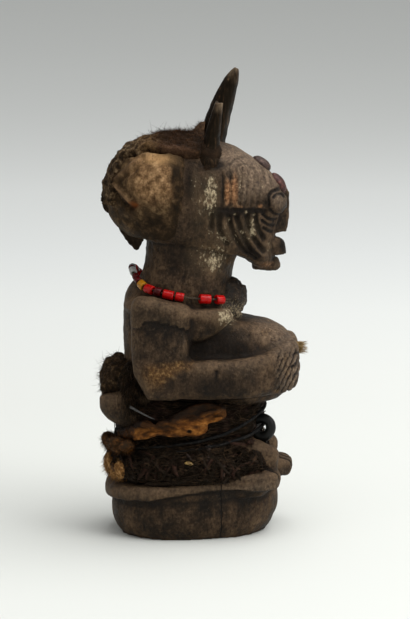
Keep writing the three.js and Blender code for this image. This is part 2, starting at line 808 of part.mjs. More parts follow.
// The outline of the neck just above the shoulders, grown outwards, at an angle from straight ahead.
function neckPoint(turn, out) {
  const [height, back, front, half] = neckRows[1];
  return slicePoint([height, back - out, front + out, half + out], turn);
}

// The string lies on the shoulders, stands up behind the neck and is sunk in the resin in front.
// Each row is an angle from straight ahead, in degrees, and the lift above the shoulders.
const necklaceRows = [
  [0, 0.4], [-30, 0.2], [-60, 0.6], [-90, 0.1], [-115, 0.2], [-134, 1], [-148, 2.5], [-162, 3.6],
  [-175, 3.8], [172, 3.4], [156, 2.4], [138, 1], [115, 0], [90, 0], [60, 0], [30, 0.2],
];
const necklace = new THREE.CatmullRomCurve3(necklaceRows.map(([degrees, lift]) => {
  const turn = THREE.MathUtils.degToRad(degrees);
  const r = beadDiameter / 2 + seatGap;
  const heights = [-r, 0, r].map((step) => {
    const under = neckPoint(turn, r + step);
    return bodyTop(under.x, under.y);
  });
  const place = neckPoint(turn, r);
  return new THREE.Vector3(place.x, place.y, Math.max(...heights) + r + lift);
}), true);

// Each bead: the bare string before it, its length, its colour, and whether it is a small one.
const red = 0xc4201c;
const darkRed = 0x6e1820;
const yellow = 0xc98a1e;
const grey = 0xb9b9b2;
const teal = 0x1f4a48;
const beadRun = [
  [21.7, 5.9, red], [3.7, 7, red], [9.7, 5.2, red], [1, 6.7, red], [1.1, 4.4, darkRed], [1, 5.8, red],
  [1.3, 4.4, yellow], [0.9, 3.2, darkRed, true], [0.6, 3.2, darkRed, true], [2, 5.2, grey, true],
  [0.6, 3.6, darkRed, true], [0.6, 3.6, teal, true], [4, 5.5, red], [1.8, 6, red], [4.7, 4.4, yellow],
  [0.8, 6.2, red], [3, 5, grey, true], [6, 6.4, red], [0.6, 6, red],
];

function beadForm(length, diameter, bore) {
  const [inner, outer, half] = [bore / 2, diameter / 2, length / 2];
  const profile = [[inner, -half], [outer, -half], [outer, half], [inner, half], [inner, -half]];
  return new THREE.LatheGeometry(profile.map(([x, y]) => new THREE.Vector2(x, y)), 6);
}

const roundAbout = necklace.getLength();
let along = 0;
const beads = beadRun.map(([bare, length, color, small]) => {
  const diameter = small ? smallBeadDiameter : beadDiameter;
  const share = (along + bare + length / 2) / roundAbout;
  along += bare + length;
  const turn = new THREE.Quaternion()
    .setFromUnitVectors(new THREE.Vector3(0, 1, 0), necklace.getTangentAt(share));
  const middle = necklace.getPointAt(share);
  const place = (geometry) => geometry.applyQuaternion(turn).translate(middle.x, middle.y, middle.z);
  return {
    color,
    form: place(beadForm(length, diameter, beadBore)),
    seat: solidOf(place(new THREE.CylinderGeometry(
      diameter / 2 + seatGap, diameter / 2 + seatGap, length + 2 * seatGap, 6,
    ))),
  };
});
const stringForm = loop(necklace, stringDiameter, 48, 4);
const stringSeat = solidOf(loop(necklace, stringDiameter + 2 * seatGap, 48, 4));

// Dark resin packed under the chin, over the front of the string.
function chestResin() {
  const front = Math.max(neckPoint(0, 0).x, 0.36 * bellyReach);
  const middle = neckBase + resinRise;
  const [deep, wide, tall] = [resinThickness, resinWidth / 2, resinHeight / 2];
  const lumps = [
    lump([front - 3, -2, middle], [deep + 3, wide * 0.82, tall], { sides: 10, rings: 6 }),
    lump([front - 7, -wide * 0.62, middle - 5], [deep, wide * 0.5, tall * 0.78]),
    lump([front - 3, wide * 0.4, middle - 6], [deep, wide * 0.5, tall * 0.7]),
  ];
  const seats = [carvedSeat, stringSeat, ...beads.map((bead) => bead.seat)];
  return cutBy(joined(lumps.map((form) => solidOf(form))), seats);
}

// Part

const part = new THREE.Group();

function add(name, shape, color, roughness = 0.9, metalness = 0) {
  const geometry = shape.isBufferGeometry ? shape : geometryOf(shape);
  const mesh = new THREE.Mesh(geometry, new THREE.MeshStandardMaterial({ color, roughness, metalness }));
  mesh.name = name;
  part.add(mesh);
}

add('carved_figure', carvedFigure, 0x463c34, 0.8);
add('left_horn', leftHorn, 0x1c1714, 0.45);
add('right_horn', rightHorn, 0x1c1714, 0.45);
add('head_hide', headHide, 0x96784f, 0.85);
add('crown_hide', crownHide, 0x4a3526, 0.95);
add('nape_flap', napeFlap(), 0x2a211b, 0.8);
add('upper_tack', tack(0.81, upperTackDiameter), 0x4b3228, 0.5, 0.6);
add('lower_tack', tack(0.66, lowerTackDiameter), 0x6e3c32, 0.5, 0.6);
add('chest_resin', chestResin(), 0x332a22, 0.9);
add('navel_plug', plugForm, 0x8c6932, 0.95);
add('necklace_string', stringForm, 0x2b2622, 0.9);
beads.forEach(({ color, form }, i) => {
  add(`necklace_bead_${String(i + 1).padStart(2, '0')}`, form, color, 0.3);
});
add('waist_girdle', cutBy(solidOf(girdleForm), [carvedSeat, ringRecess]), 0x2c221b, 0.95);
add('waist_strip', waistStrip(), 0x96613a, 0.8);
add('lower_girdle_cord', loop(lowerCord, cordDiameter, 26, 5), 0x191715, 0.8);
add('upper_girdle_cord', loop(upperCord, cordDiameter, 26, 5), 0x191715, 0.8);
add('girdle_ring', ring, 0x1e201e, 0.4);
add('back_bundle', backBundle(), 0x3a2e24, 0.95);
add('upper_fur_tuft', upperTuft, 0x82552d, 0.95);
add('lower_fur_tuft', lowerTuft, 0x9a7345, 0.95);
add('feather_skirt', cutBy(solidOf(skirtForm), [carvedSeat, ringRecess]), 0x281e1c, 0.95);

export default part;
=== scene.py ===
# A horned power figure, about 29 cm high: carved wood with horns, hides, tacks, beads, cords, fur and feathers.
import math

import bpy
import numpy as np
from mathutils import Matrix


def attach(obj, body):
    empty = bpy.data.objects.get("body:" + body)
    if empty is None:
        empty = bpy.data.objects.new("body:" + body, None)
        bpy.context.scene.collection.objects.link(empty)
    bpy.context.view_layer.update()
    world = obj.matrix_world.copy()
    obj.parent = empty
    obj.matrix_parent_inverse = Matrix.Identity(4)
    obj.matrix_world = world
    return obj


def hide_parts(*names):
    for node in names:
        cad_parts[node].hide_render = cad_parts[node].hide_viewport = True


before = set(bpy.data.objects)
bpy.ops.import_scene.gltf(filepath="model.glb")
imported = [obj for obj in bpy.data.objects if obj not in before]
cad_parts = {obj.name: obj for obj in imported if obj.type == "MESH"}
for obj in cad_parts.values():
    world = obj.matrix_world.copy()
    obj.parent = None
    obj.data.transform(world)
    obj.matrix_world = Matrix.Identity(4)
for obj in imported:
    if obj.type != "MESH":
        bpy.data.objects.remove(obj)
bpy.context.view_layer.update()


# Camera
# A long lens that looks along +Y at the figure's right side, from ten degrees above level.
# The whole figure stands a little left of the middle of an upright picture.
lens_height, lens_distance, picture_height = math.radians(10.0), 1.75, 619 * 0.00062
aim = np.array([0.0068, 0.0, 0.1388])
camera_data = bpy.data.cameras.new("camera")
camera_data.sensor_width = 36.0
camera_data.lens = 36.0 * lens_distance / picture_height
camera_data.clip_end = 60.0
camera = bpy.data.objects.new("camera", camera_data)
camera.location = aim + lens_distance * np.array([0, -math.cos(lens_height), math.sin(lens_height)])
camera.rotation_euler = (math.pi / 2 - lens_height, 0, 0)
bpy.context.scene.collection.objects.link(camera)
bpy.context.scene.camera = camera
bpy.context.scene.view_settings.view_transform = "Standard"


# Floor
# A wide, smooth, nearly white surface with painted light: its colour greys with distance as a painted falloff of
# light, as a paper sweep does behind its lamp, and it glows faintly, more so away from the figure.
def tone(red, green, blue):
    """A colour of 0 to 255 as shown, turned into the light that it stands for."""
    shown = np.array([red, green, blue]) / 255
    light = np.where(shown < 0.04045, shown / 12.92, ((shown + 0.055) / 1.055) ** 2.4)
    return (*map(float, light), 1.0)


class Value:
    """What a shader node gives out. Values are added, taken away and multiplied as numbers are."""

    def __init__(self, socket):
        self.socket, self.tree = socket, socket.id_data

    def maths(self, operation, other=0.0):
        """One sum of the value and another."""
        return add(self.tree, "Math", {0: self, 1: other}, operation=operation)

    def __add__(self, other):
        return self.maths("ADD", other)

    def __sub__(self, other):
        return self.maths("SUBTRACT", other)

    def __rsub__(self, other):
        return add(self.tree, "Math", {0: other, 1: self}, operation="SUBTRACT")

    def __mul__(self, other):
        return self.maths("MULTIPLY", other)

    def between(self, low, high):
        """The value rescaled so that `low` is 0 and `high` is 1, and held there."""
        return add(self.tree, "MapRange", {"Value": self, "From Min": low, "From Max": high})

    def ramp(self, *stops):
        """Tones laid out along the value. A stop is a place and then one grey from 0 to 1, or red, green and blue
        from 0 to 255."""
        made = add(self.tree, "ValToRGB", {"Fac": self})
        colors = made.socket.node.color_ramp.elements
        for i, (place, *shade) in enumerate(stops):
            stop = colors[i] if i < 2 else colors.new(place)
            stop.position = place
            stop.color = tone(*shade) if len(shade) == 3 else (*shade * 3, 1)
        return made

    def mixed(self, share, other):
        """The colour with a share from 0 to 1 of another one, which is a value or a red, green and blue."""
        other = other if isinstance(other, Value) else tone(*other)
        return add(self.tree, "Mix", {0: share, 6: self, 7: other}, 2, data_type="RGBA", blend_type="MIX")


def add(tree, kind, inputs, out=0, **settings):
    """A shader node with its settings, as what it gives out. Each input is set to a number or colour, or joined
    to a value."""
    made = tree.nodes.new("ShaderNode" + kind)
    for key, value in settings.items():
        setattr(made, key, value)
    for key, value in inputs.items():
        if isinstance(value, Value):
            tree.links.new(value.socket, made.inputs[key])
        else:
            made.inputs[key].default_value = value
    return Value(made.outputs[out])


class Finish:
    """A material with its shader's inputs, of which the uniform ones are set at once, and object coordinates."""

    def __init__(self, name, specular=0.5, tint=(1, 1, 1, 1), **sockets):
        self.made = bpy.data.materials.new(name)
        self.made.use_nodes = True
        self.tree = self.made.node_tree
        self.inputs = self.tree.nodes["Principled BSDF"].inputs
        for key, value in {"Specular IOR Level": specular, "Specular Tint": tint, **sockets}.items():
            self.inputs[key].default_value = value
        self.coords = add(self.tree, "TexCoord", {}, "Object")

    def noise(self, size, detail=4.0, rough_share=0.6, offset=0.0, stretch=(1, 1, 1)):
        """Cloudy noise whose lumps measure `size` millimetres, drawn out along an axis by `stretch`."""
        place = add(self.tree, "Mapping", {
            "Vector": self.coords, "Location": (offset, offset, offset), "Scale": tuple(1 / s for s in stretch)})
        return add(self.tree, "TexNoise", {
            "Vector": place, "Scale": 1000 / size, "Detail": detail, "Roughness": rough_share}, "Fac")

    def level(self, name):
        """A level that the mesh carries at its points."""
        return add(self.tree, "Attribute", {}, "Fac", attribute_name=name)

    def lay(self, pieces, color, roughness=None, *bumps):
        """Joins the colour, the roughness and the bumps, each a value and the height in millimetres that it stands
        for, and gives the finish to the pieces."""
        normal = None
        for value, height in bumps:
            under = {} if normal is None else {"Normal": normal}
            normal = add(self.tree, "Bump", {"Height": value, "Distance": height / 1000, "Strength": 1.0, **under})
        for key, value in (("Base Color", color), ("Roughness", roughness), ("Normal", normal)):
            if value is not None:
                self.tree.links.new(value.socket, self.inputs[key])
        for made in pieces:
            made.data.materials.append(self.made)


def net(rows, columns, round_rows=False, round_columns=False, first=0):
    """Four-sided faces over a grid of points that are numbered row by row; a way that goes round is closed."""
    index = first + np.arange(rows * columns).reshape(rows, columns)
    if round_rows:
        index = np.concatenate([index, index[:1]])
    if round_columns:
        index = np.concatenate([index, index[:, :1]], 1)
    return np.stack([index[:-1, :-1], index[:-1, 1:], index[1:, 1:], index[1:, :-1]], -1).reshape(-1, 4)


def piece(name, slot, points, quads, triangles=()):
    """An object at the origin from its points, in metres, and its faces as rows of point numbers. With a slot it
    is part of the figure and rides on the root."""
    points, quads = np.asarray(points, np.float32).reshape(-1, 3), quads.reshape(-1, 4)
    triangles = np.asarray(triangles, int).reshape(-1, 3)
    corners = np.concatenate([quads.ravel(), triangles.ravel()])
    starts = np.concatenate([4 * np.arange(len(quads)), 4 * len(quads) + 3 * np.arange(len(triangles))])
    mesh = bpy.data.meshes.new(name)
    mesh.vertices.add(len(points))
    mesh.vertices.foreach_set("co", points.ravel())
    mesh.loops.add(len(corners))
    mesh.loops.foreach_set("vertex_index", corners.astype(np.int32))
    mesh.polygons.add(len(starts))
    mesh.polygons.foreach_set("loop_start", starts.astype(np.int32))
    mesh.update(calc_edges=True)
    mesh.validate()
    mesh.polygons.foreach_set("use_smooth", np.ones(len(mesh.polygons), bool))
    made = bpy.data.objects.new(name, mesh)
    bpy.context.scene.collection.objects.link(made)
    if slot:
        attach(made, "root")
    return made


reach = np.linspace(-30, 30, 25)
floor_x, floor_y = np.meshgrid(reach, reach)
floor = piece("floor", None, np.stack([floor_x, floor_y, np.full_like(floor_x, -0.0001)], -1), net(25, 25))
paper = Finish("pale paper", 0.1, Roughness=0.85)
share = add(paper.tree, "VectorMath", {0: paper.coords}, "Value", operation="LENGTH").between(0.0, 8.0)
# Painted light: the paper glows faintly by emission, more so away from the figure, and its colour greys with distance
# as painted falloff.
paper.inputs["Emission Color"].default_value = tone(232, 234, 230)
painted_glow = share.ramp((0.0, 0.02), (0.05, 0.06), (0.1, 0.16), (0.15, 0.2), (0.2, 0.25), (0.39, 0.27), (1.0, 0.26))
paper.tree.links.new(painted_glow.socket, paper.inputs["Emission Strength"])
paper.lay([floor], share.ramp((0.0, 213, 215, 210), (0.06, 215, 217, 213), (0.14, 215, 218, 217),
                              (0.2, 214, 217, 216), (0.45, 196, 199, 198), (1.0, 160, 163, 162)))


# Light
# One broad soft box overhead and in front of the side that is seen, a weaker one from the face's side,
# a third from the back's side, and even light from all around.
def soft_box(name, place, size, power):
    """A square light at a place, in metres, turned towards the middle of the figure."""
    lamp_data = bpy.data.lights.new(name, "AREA")
    lamp_data.size, lamp_data.energy = size, power
    lamp = bpy.data.objects.new(name, lamp_data)
    lamp.location = place
    x, y, z = np.array(place) - [0, 0, 0.14]
    lamp.rotation_euler = (math.atan2(math.hypot(x, y), z), 0, math.atan2(x, -y))
    bpy.context.scene.collection.objects.link(lamp)


soft_box("light overhead", (0.52, -0.1, 1.5), 1.8, 34.5)
soft_box("light from the front", (1.5, -0.9, 0.9), 0.9, 8)
soft_box("light from the back", (-1.5, -0.9, 0.9), 1.0, 2)
world = bpy.data.worlds.new("even light")
world.use_nodes = True
world.node_tree.nodes["Background"].inputs["Color"].default_value = (1.0, 1.0, 0.99, 1)
world.node_tree.nodes["Background"].inputs["Strength"].default_value = 0.34
bpy.context.scene.world = world


# Carved figure
# One block of dense wood, cut with an adze and knives and blackened by smoke, oil and handling.
# Head and neck are one fine skin and the body is another, which meet under the beads.
def bent(value, power):
    """A signed power, which squares the corners of an ellipse when it is under one."""
    return np.sign(value) * np.abs(value) ** power


def bell(*spans, power=2):
    """One where all distances are nought, falling as e to minus the sum of (distance / width) to a power."""
    return np.exp(-sum(np.abs(far / wide) ** power for far, wide in spans))


def step(value, low, high):
    """Nought below one value and one above another, eased between them."""
    share = np.clip((value - low) / (high - low), 0, 1)
    return share * share * (3 - 2 * share)


def angles(count, shift=0.0):
    """Even angles around a circle."""
    return 2 * np.pi * (np.arange(count) + shift) / count


def unit(ways, least=0.0):
    """Directions made one long. A small `least` keeps those that have no length from dividing by nought."""
    return ways / (np.linalg.norm(ways, axis=-1, keepdims=True) + least)


def eased(rows, steps):
    """Rows drawn through by smooth curves. Each column follows a cubic in each span, whose slope at a row is
    the harmonic mean of the rises on both sides of it, or level where they disagree, so nothing overshoots."""
    rows = np.asarray(rows, float)
    rise = np.diff(rows, axis=0)
    product, total = rise[:-1] * rise[1:], rise[:-1] + rise[1:]
    slope = np.concatenate([
        rise[:1], np.where(product > 0, 2 * product / np.where(total == 0, 1, total), 0), rise[-1:]])
    return np.concatenate([cubic(rows[:-1], rows[1:], slope[:-1], slope[1:], steps), rows[-1:]])


def cubic(a, b, slope_a, slope_b, steps):
    """Even steps along the cubics from rows to rows that leave and reach them with the given slopes."""
    a, b, slope_a, slope_b = (value[:, None] for value in (a, b, slope_a, slope_b))
    t = (np.arange(steps) / steps)[None, :, None]
    made = (2 * t**3 - 3 * t**2 + 1) * a + (t**3 - 2 * t**2 + t) * slope_a + (3 * t**2 - 2 * t**3) * b \
        + (t**3 - t**2) * slope_b
    return made.reshape(-1, a.shape[-1])


def slices(rows, sides=48, widest=0.5, square=2.2, centre_y=0.0, climb=0.0, steps=5):
    """Level slices of [height, back, front, half width] in millimetres, as a grid of points in metres. Each is
    a squared ellipse: |along| to a power plus |across| to the same power is one, with its widest place at a
    share of its length."""
    height, back, front, half = eased(rows, steps).T[:, :, None]
    turn = angles(sides, 0.5)[None]
    along = bent(np.cos(turn), 2 / square)
    middle = back + widest * (front - back)
    x = middle + along * np.where(along > 0, front - middle, middle - back)
    return np.stack([x, centre_y + half * bent(np.sin(turn), 2 / square), height + climb * x], -1) / 1000


def limb(stations, sides=32, square=2.6, steps=6):
    """Upright squared ellipses of [x, y, z, half thickness, half depth] carried along a path."""
    fine = eased(stations, steps)
    across = np.cross([0, 0, 1], unit(np.gradient(fine[:, :3], axis=0) * [1, 1, 0]))
    turn = angles(sides, 0.5)[None, :, None]
    return (fine[:, None, :3] + across[:, None] * fine[:, None, 3:4] * bent(np.cos(turn), 2 / square)
            + np.array([0, 0, 1]) * fine[:, None, 4:5] * bent(np.sin(turn), 2 / square)) / 1000


def square_to(ahead, up=(0, 0, 1)):
    """Two directions that are square to a way and to each other, the first of them square to `up` too."""
    ahead = unit(ahead)
    across = unit(np.cross(up, ahead))
    return across, np.cross(ahead, across)


def tube(path, radii, sides=16):
    """Circles of given radii carried square to a path, in millimetres."""
    path = np.asarray(path, float)
    across, other = square_to(np.gradient(path, axis=0), (0, 1, 0))
    turn = angles(sides)[None, :, None]
    radii = np.broadcast_to(radii, len(path))[:, None, None]
    return (path[:, None] + radii * (across[:, None] * np.cos(turn) + other[:, None] * np.sin(turn))) / 1000


def lump(centre, halves, turn=0.0, sides=28, rings=16):
    """An egg shape with three half sizes, in millimetres, turned about the upright axis."""
    up = np.linspace(-np.pi / 2, np.pi / 2, rings + 2)[1:-1, None]
    around = angles(sides)[None]
    x, y = halves[0] * np.cos(up) * np.cos(around), halves[1] * np.cos(up) * np.sin(around)
    z = np.broadcast_to(halves[2] * np.sin(up), x.shape)
    c, s = math.cos(turn), math.sin(turn)
    return (np.stack([c * x - s * y, s * x + c * y, z], -1) + np.asarray(centre, float)) / 1000


def closed_skins(*grids):
    """Tube-like grids as one list of points, quads and triangles, with a fan over each end."""
    points, quads, fans, first = [], [], [], 0
    for grid in grids:
        rings, sides = grid.shape[:2]
        s = np.arange(sides)
        after, low, top = (s + 1) % sides, first + rings * sides, first + (rings - 1) * sides
        points += [grid.reshape(-1, 3), [grid[0].mean(0), grid[-1].mean(0)]]
        quads.append(net(rings, sides, False, True, first))
        fans += [np.stack([low + 0 * s, first + after, first + s], 1),
                 np.stack([low + 1 + 0 * s, top + s, top + after], 1)]
        first = low + 2
    return np.concatenate(points), np.concatenate(quads), np.concatenate(fans)


def lattice(points, seed):
    """Smooth random values from -1 to 1: a random slope at each corner of a unit grid, eased between them."""
    cell = np.floor(points).astype(np.int64)
    inside = points - cell
    ease = inside**3 * (inside * (inside * 6 - 15) + 10)
    total = np.zeros(len(points))
    for corner in np.ndindex(2, 2, 2):
        key = (cell + corner) @ np.array([73856093, 19349663, 83492791]) + seed * 1013904223
        key = (key ^ (key >> 13)) * 1274126177 & 0x7FFFFFFF
        key = (key ^ (key >> 11)) * 1103515245 & 0x7FFFFFFF
        slope = np.stack([(key & 1023), (key >> 10) & 1023, (key >> 20) & 1023], 1) / 511.5 - 1
        total += np.prod(np.where(corner, ease, 1 - ease), axis=1) * np.sum(slope * (inside - corner), axis=1)
    return total * 1.3


def rough(points, size, seed=0, octaves=3, stretch=(1, 1, 1)):
    """Layered smooth noise over points in metres. `size` is the largest lump in millimetres, each layer has
    half the size and half the height of the one before, and `stretch` draws it out along an axis."""
    scaled = points * 1000 / (size * np.asarray(stretch, float))
    return sum(lattice(scaled * 2**k + 17.3 * k, seed + k) / 2**k for k in range(octaves))


def near(points, path):
    """How far each point is from a line of points, in millimetres."""
    mm = points * 1000
    found = np.full(len(mm), 1e9)
    for a, b in zip(path[:-1], path[1:]):
        run = b - a
        share = np.clip((mm - a) @ run / (run @ run), 0, 1)
        found = np.minimum(found, np.linalg.norm(mm - a - share[:, None] * run, axis=1))
    return found


def fused(grids, voxel, rounds):
    """Closed skins melted into one: a voxel remesh of their union, with its steps smoothed away. Gives the points
    and normals, and the faces."""
    raw = piece("raw", None, *closed_skins(*grids))
    remesh = raw.modifiers.new("union", "REMESH")
    remesh.mode, remesh.voxel_size = "VOXEL", voxel / 1000
    smooth = raw.modifiers.new("smooth", "SMOOTH")
    smooth.factor, smooth.iterations = 0.5, rounds
    view = bpy.context.evaluated_depsgraph_get()
    mesh = bpy.data.meshes.new_from_object(raw.evaluated_get(view))
    bpy.data.objects.remove(raw)
    points, normals = np.empty((2, len(mesh.vertices) * 3), np.float32)
    mesh.vertices.foreach_get("co", points)
    mesh.vertices.foreach_get("normal", normals)
    corners = np.empty(len(mesh.loops), np.int32)
    mesh.loops.foreach_get("vertex_index", corners)
    bpy.data.meshes.remove(mesh)
    return points.reshape(-1, 3).astype(float), normals.reshape(-1, 3).astype(float), corners.reshape(-1, 4)


# The head: a long skull that widens behind the temples and narrows to the chin.
chin, head_height, head_length, head_width, head_back = 165.0, 80.0, 110.0, 61.0, 52.0
head_widest, head_square = 0.42, 2.4
head_rows = np.array([
    [0.00, 0.84, 0.905, 0.13], [0.05, 0.79, 0.92, 0.23], [0.12, 0.705, 0.92, 0.32], [0.20, 0.31, 0.92, 0.385],
    [0.25, 0.17, 0.925, 0.42], [0.31, 0.09, 0.93, 0.45], [0.40, 0.03, 0.945, 0.48], [0.52, 0.0, 0.97, 0.5],
    [0.62, 0.0, 0.965, 0.5], [0.71, 0.012, 0.92, 0.487], [0.80, 0.045, 0.86, 0.455], [0.88, 0.09, 0.78, 0.395],
    [0.95, 0.18, 0.685, 0.295], [1.0, 0.29, 0.55, 0.13],
]) * [head_height, head_length, head_length, head_width] + [chin, -head_back, -head_back, 0]
fine_head = eased(head_rows, 8)


def head_side(x, z):
    """How far the head's side stands out at a length and a height, in millimetres: from the row at that
    height, half width times (1 - reach to the power n) to the power 1/n."""
    back, front, half = (np.interp(z, fine_head[:, 0], fine_head[:, k]) for k in (1, 2, 3))
    middle = back + head_widest * (front - back)
    reach = np.abs(x - middle) / np.where(x > middle, front - middle, middle - back)
    return half * (1 - np.clip(reach, 0, 0.995) ** head_square) ** (1 / head_square)


face, lips = head_length - head_back, chin + 8.0
nose_low, nose_high = chin + 0.285 * head_height, chin + 0.58 * head_height
nose = slices([
    [nose_low, face - 16, face - 1.2, 5.5], [nose_low + 4, face - 16, face + 0.2, 5.0],
    [nose_low + 10, face - 16, face + 0.6, 3.8], [nose_high, face - 16, face + 0.8, 2.8],
    [nose_high + 4, face - 18, face - 1, 2.0]], square=1.8, widest=0.4)
upper_lip = slices([[lips + 1.2, face - 20, face - 0.4, 9.5], [lips + 8.2, face - 20, face - 2.2, 8.0],
                    [lips + 11.2, face - 20, face - 5.5, 5.7]], square=2.6)
lower_lip = slices([[chin - 0.4, face - 22, face - 6, 7.6], [chin + 1.6, face - 22, face - 4.4, 8.9],
                    [lips - 1.2, face - 20, face - 6.5, 8.0]], square=2.6)
eye_x, eye_z = 50.5, 207.3
eyes = [lump([eye_x, side * (float(head_side(np.array(eye_x), np.array(eye_z))) - 1), eye_z], [9.6, 4.0, 8.4],
             turn=-0.9 * side) for side in (1, -1)]
neck = slices(np.array([
    [-18, -0.60, 0.38, 0.50], [-8, -0.66, 0.43, 0.56], [9, -0.615, 0.41, 0.52], [20, -0.545, 0.425, 0.49],
    [28, -0.52, 0.465, 0.49], [46, -0.5, 0.5, 0.47]]) * [1, 57, 57, 47] + [146, 0, 0, 0], widest=0.45)
head_points, head_normals, head_quads = fused([
    slices(head_rows, sides=96, widest=head_widest, square=head_square, steps=8), nose, upper_lip, lower_lip,
    *eyes, neck], 0.9, 3)

# Cuts in the face, as lines of [x, z]: upright ones on the temple over a level line, curved ones down the
# cheek, and rings around the eye and the brow. Each group has a width and a depth.
temple_cuts = [
    [[17.4, 227.5], [17.8, 221], [17.6, 214], [17.2, 207.5]], [[21.9, 228], [22.4, 221], [22.0, 213], [21.8, 207]],
    [[25.6, 229], [25.9, 222], [25.2, 214], [25.0, 207]], [[29.4, 229.5], [29.0, 222], [28.4, 214], [28.0, 207]],
    [[33.4, 229], [32.6, 221], [31.8, 214], [31.2, 207]], [[37.6, 227.5], [36.6, 220], [35.6, 213], [34.8, 207]],
    [[41.6, 225], [40.2, 218], [38.8, 211], [38.0, 206]]]
level_line = [[7, 205.6], [14, 205.6], [22, 205.2], [30, 204.6], [38, 204.4], [43, 203]]
cheek_cuts = [
    [[10.8, 202.5], [10.7, 198], [10.5, 194]], [[15.2, 202], [15.5, 195.7], [17.4, 188], [20.0, 183.6]],
    [[21.4, 200.5], [23.4, 192.5], [27.6, 183.2], [32.2, 177.8], [37.6, 173.8]],
    [[25.7, 201.5], [27.8, 194.3], [31.2, 185.2], [36.0, 178.2], [40.0, 174.9]],
    [[32.4, 201.5], [33.4, 194.5], [36.0, 187.9], [39.6, 182.1], [43.0, 178.4]],
    [[37.4, 201.3], [38.2, 196.5], [40.0, 190.5], [43.0, 185.6]]]
eye_rings = [
    [[45.6, 206], [45.6, 211.8], [48.6, 215.4], [53.0, 215.9], [56.6, 212.2]],
    [[46.0, 204.6], [49.6, 200.8], [53.6, 200.1], [57.0, 203.0]],
    [[42.2, 201.4], [46.0, 197.8], [50.2, 196.6], [54.0, 197.3], [57.0, 200.0]],
    [[42.0, 197.2], [46.0, 193.9], [50.2, 192.7], [54.0, 193.4], [56.6, 196.6]],
    [[42.8, 192.4], [46.0, 190.0], [49.6, 189.0], [54.0, 191.0]],
    [[48.6, 211.6], [50.8, 213.4], [53.6, 213.2], [55.4, 210.8]]]
brow_rings = [
    [[21.7, 231.8], [26.7, 235.4], [32.9, 235.4], [38.4, 232.2], [42.2, 227.0], [44.0, 220.0]],
    [[26.0, 230.2], [30.4, 231.8], [35.3, 230.0], [38.4, 225.0], [39.7, 218.8]],
    [[28.5, 238.3], [36.0, 236.6], [42.2, 231.7], [46.2, 225.0], [47.6, 217.6]],
    [[49.0, 228.0], [51.6, 222.0], [52.4, 217.8]]]
flat_points, beside = head_points * [1, 0, 1], np.clip((np.abs(head_points[:, 1]) - 0.006) / 0.004, 0, 1)
uneven = 0.85 + 0.35 * rough(head_points, 4, 3, 2)
head_cut, temple_cut = np.zeros((2, len(head_points)))
for lines, width, depth in ((temple_cuts, 0.8, 0.7), ([level_line], 1.3, 1.1), (cheek_cuts, 1.3, 2.3),
                            (eye_rings, 0.9, 1.25), (brow_rings, 0.9, 0.42)):
    for line in lines:
        path = np.insert(eased(line, 6), 1, 0, axis=1)
        cut = beside * bell((near(flat_points, path), width)) * uneven
        head_cut = np.maximum(head_cut, depth * cut)
        if lines is temple_cuts:
            temple_cut = np.maximum(temple_cut, cut)
# Handling and crusts have left the wood pitted and lumpy, most of all around the mouth and cheeks.
crusty = 0.35 + 0.65 / (1 + np.exp((head_points[:, 2] * 1000 - 205 + 0.25 * head_points[:, 0] * 1000) / 4))
head_points += head_normals / 1000 * (
    -head_cut + 0.45 * rough(head_points, 13, 5, 3) + 0.5 * crusty * rough(head_points, 3.2, 8, 2, (1, 1, 1.4))
)[:, None]


# The body: block, rim, trunk, arms, buttocks, legs and feet.
trunk = slices(np.array([
    [0.00, 0.78, 0.47, 0.40], [0.18, 0.84, 0.58, 0.42], [0.235, 0.90, 0.84, 0.45], [0.31, 0.94, 0.94, 0.48],
    [0.42, 0.98, 1.0, 0.50], [0.53, 0.99, 1.0, 0.485], [0.635, 1.0, 0.93, 0.445], [0.70, 1.0, 0.80, 0.40],
    [0.755, 1.0, 0.60, 0.37], [0.79, 1.0, 0.45, 0.42], [0.825, 1.0, 0.41, 0.60], [0.85, 0.99, 0.40, 0.58],
    [0.885, 0.97, 0.385, 0.45], [0.93, 0.93, 0.375, 0.33], [0.965, 0.86, 0.36, 0.25], [1.0, 0.76, 0.33, 0.18],
]) * [98, -44, 63.5, 62] + [62, 0, 0, 0], square=2.3)
# The shoulders fall towards the chest, the more the higher they are.
fall = np.clip((trunk[..., 2] * 1000 - 130.6) / 18.1, 0, 1)
trunk[..., 2] -= 0.16 * fall**2 * (3 - 2 * fall) * np.maximum(0, trunk[..., 0] + 0.025)
arm_out, elbow = 33.5, 101.5
upper_arm_rows = np.array([
    [0, 10, -7, 0.7], [0.06, 7.5, -3, 1], [0.37, 0.5, 0, 1], [0.77, 0, 0, 1], [0.87, 0, -4, 1],
    [0.95, 1, -13, 0.85], [1, 4.5, -22, 0.4]]) * [64, 1, 1, 8] + [89, -38.5, -2.5, 0]
forearm_shares = np.array([
    [0.01, 1, 0, 0.7, 0.4], [0.05, 1, 0, 1, 0.48], [0.4, 1.06, 0, 1, 0.49], [0.62, 1.0, 0.5, 1, 0.5],
    [0.77, 0.84, 1.5, 1, 0.52], [0.88, 0.62, 3.5, 0.95, 0.62], [0.955, 0.38, 5.5, 0.8, 0.66],
    [0.99, 0.2, 6, 0.45, 0.5]])
body_grids = [trunk]
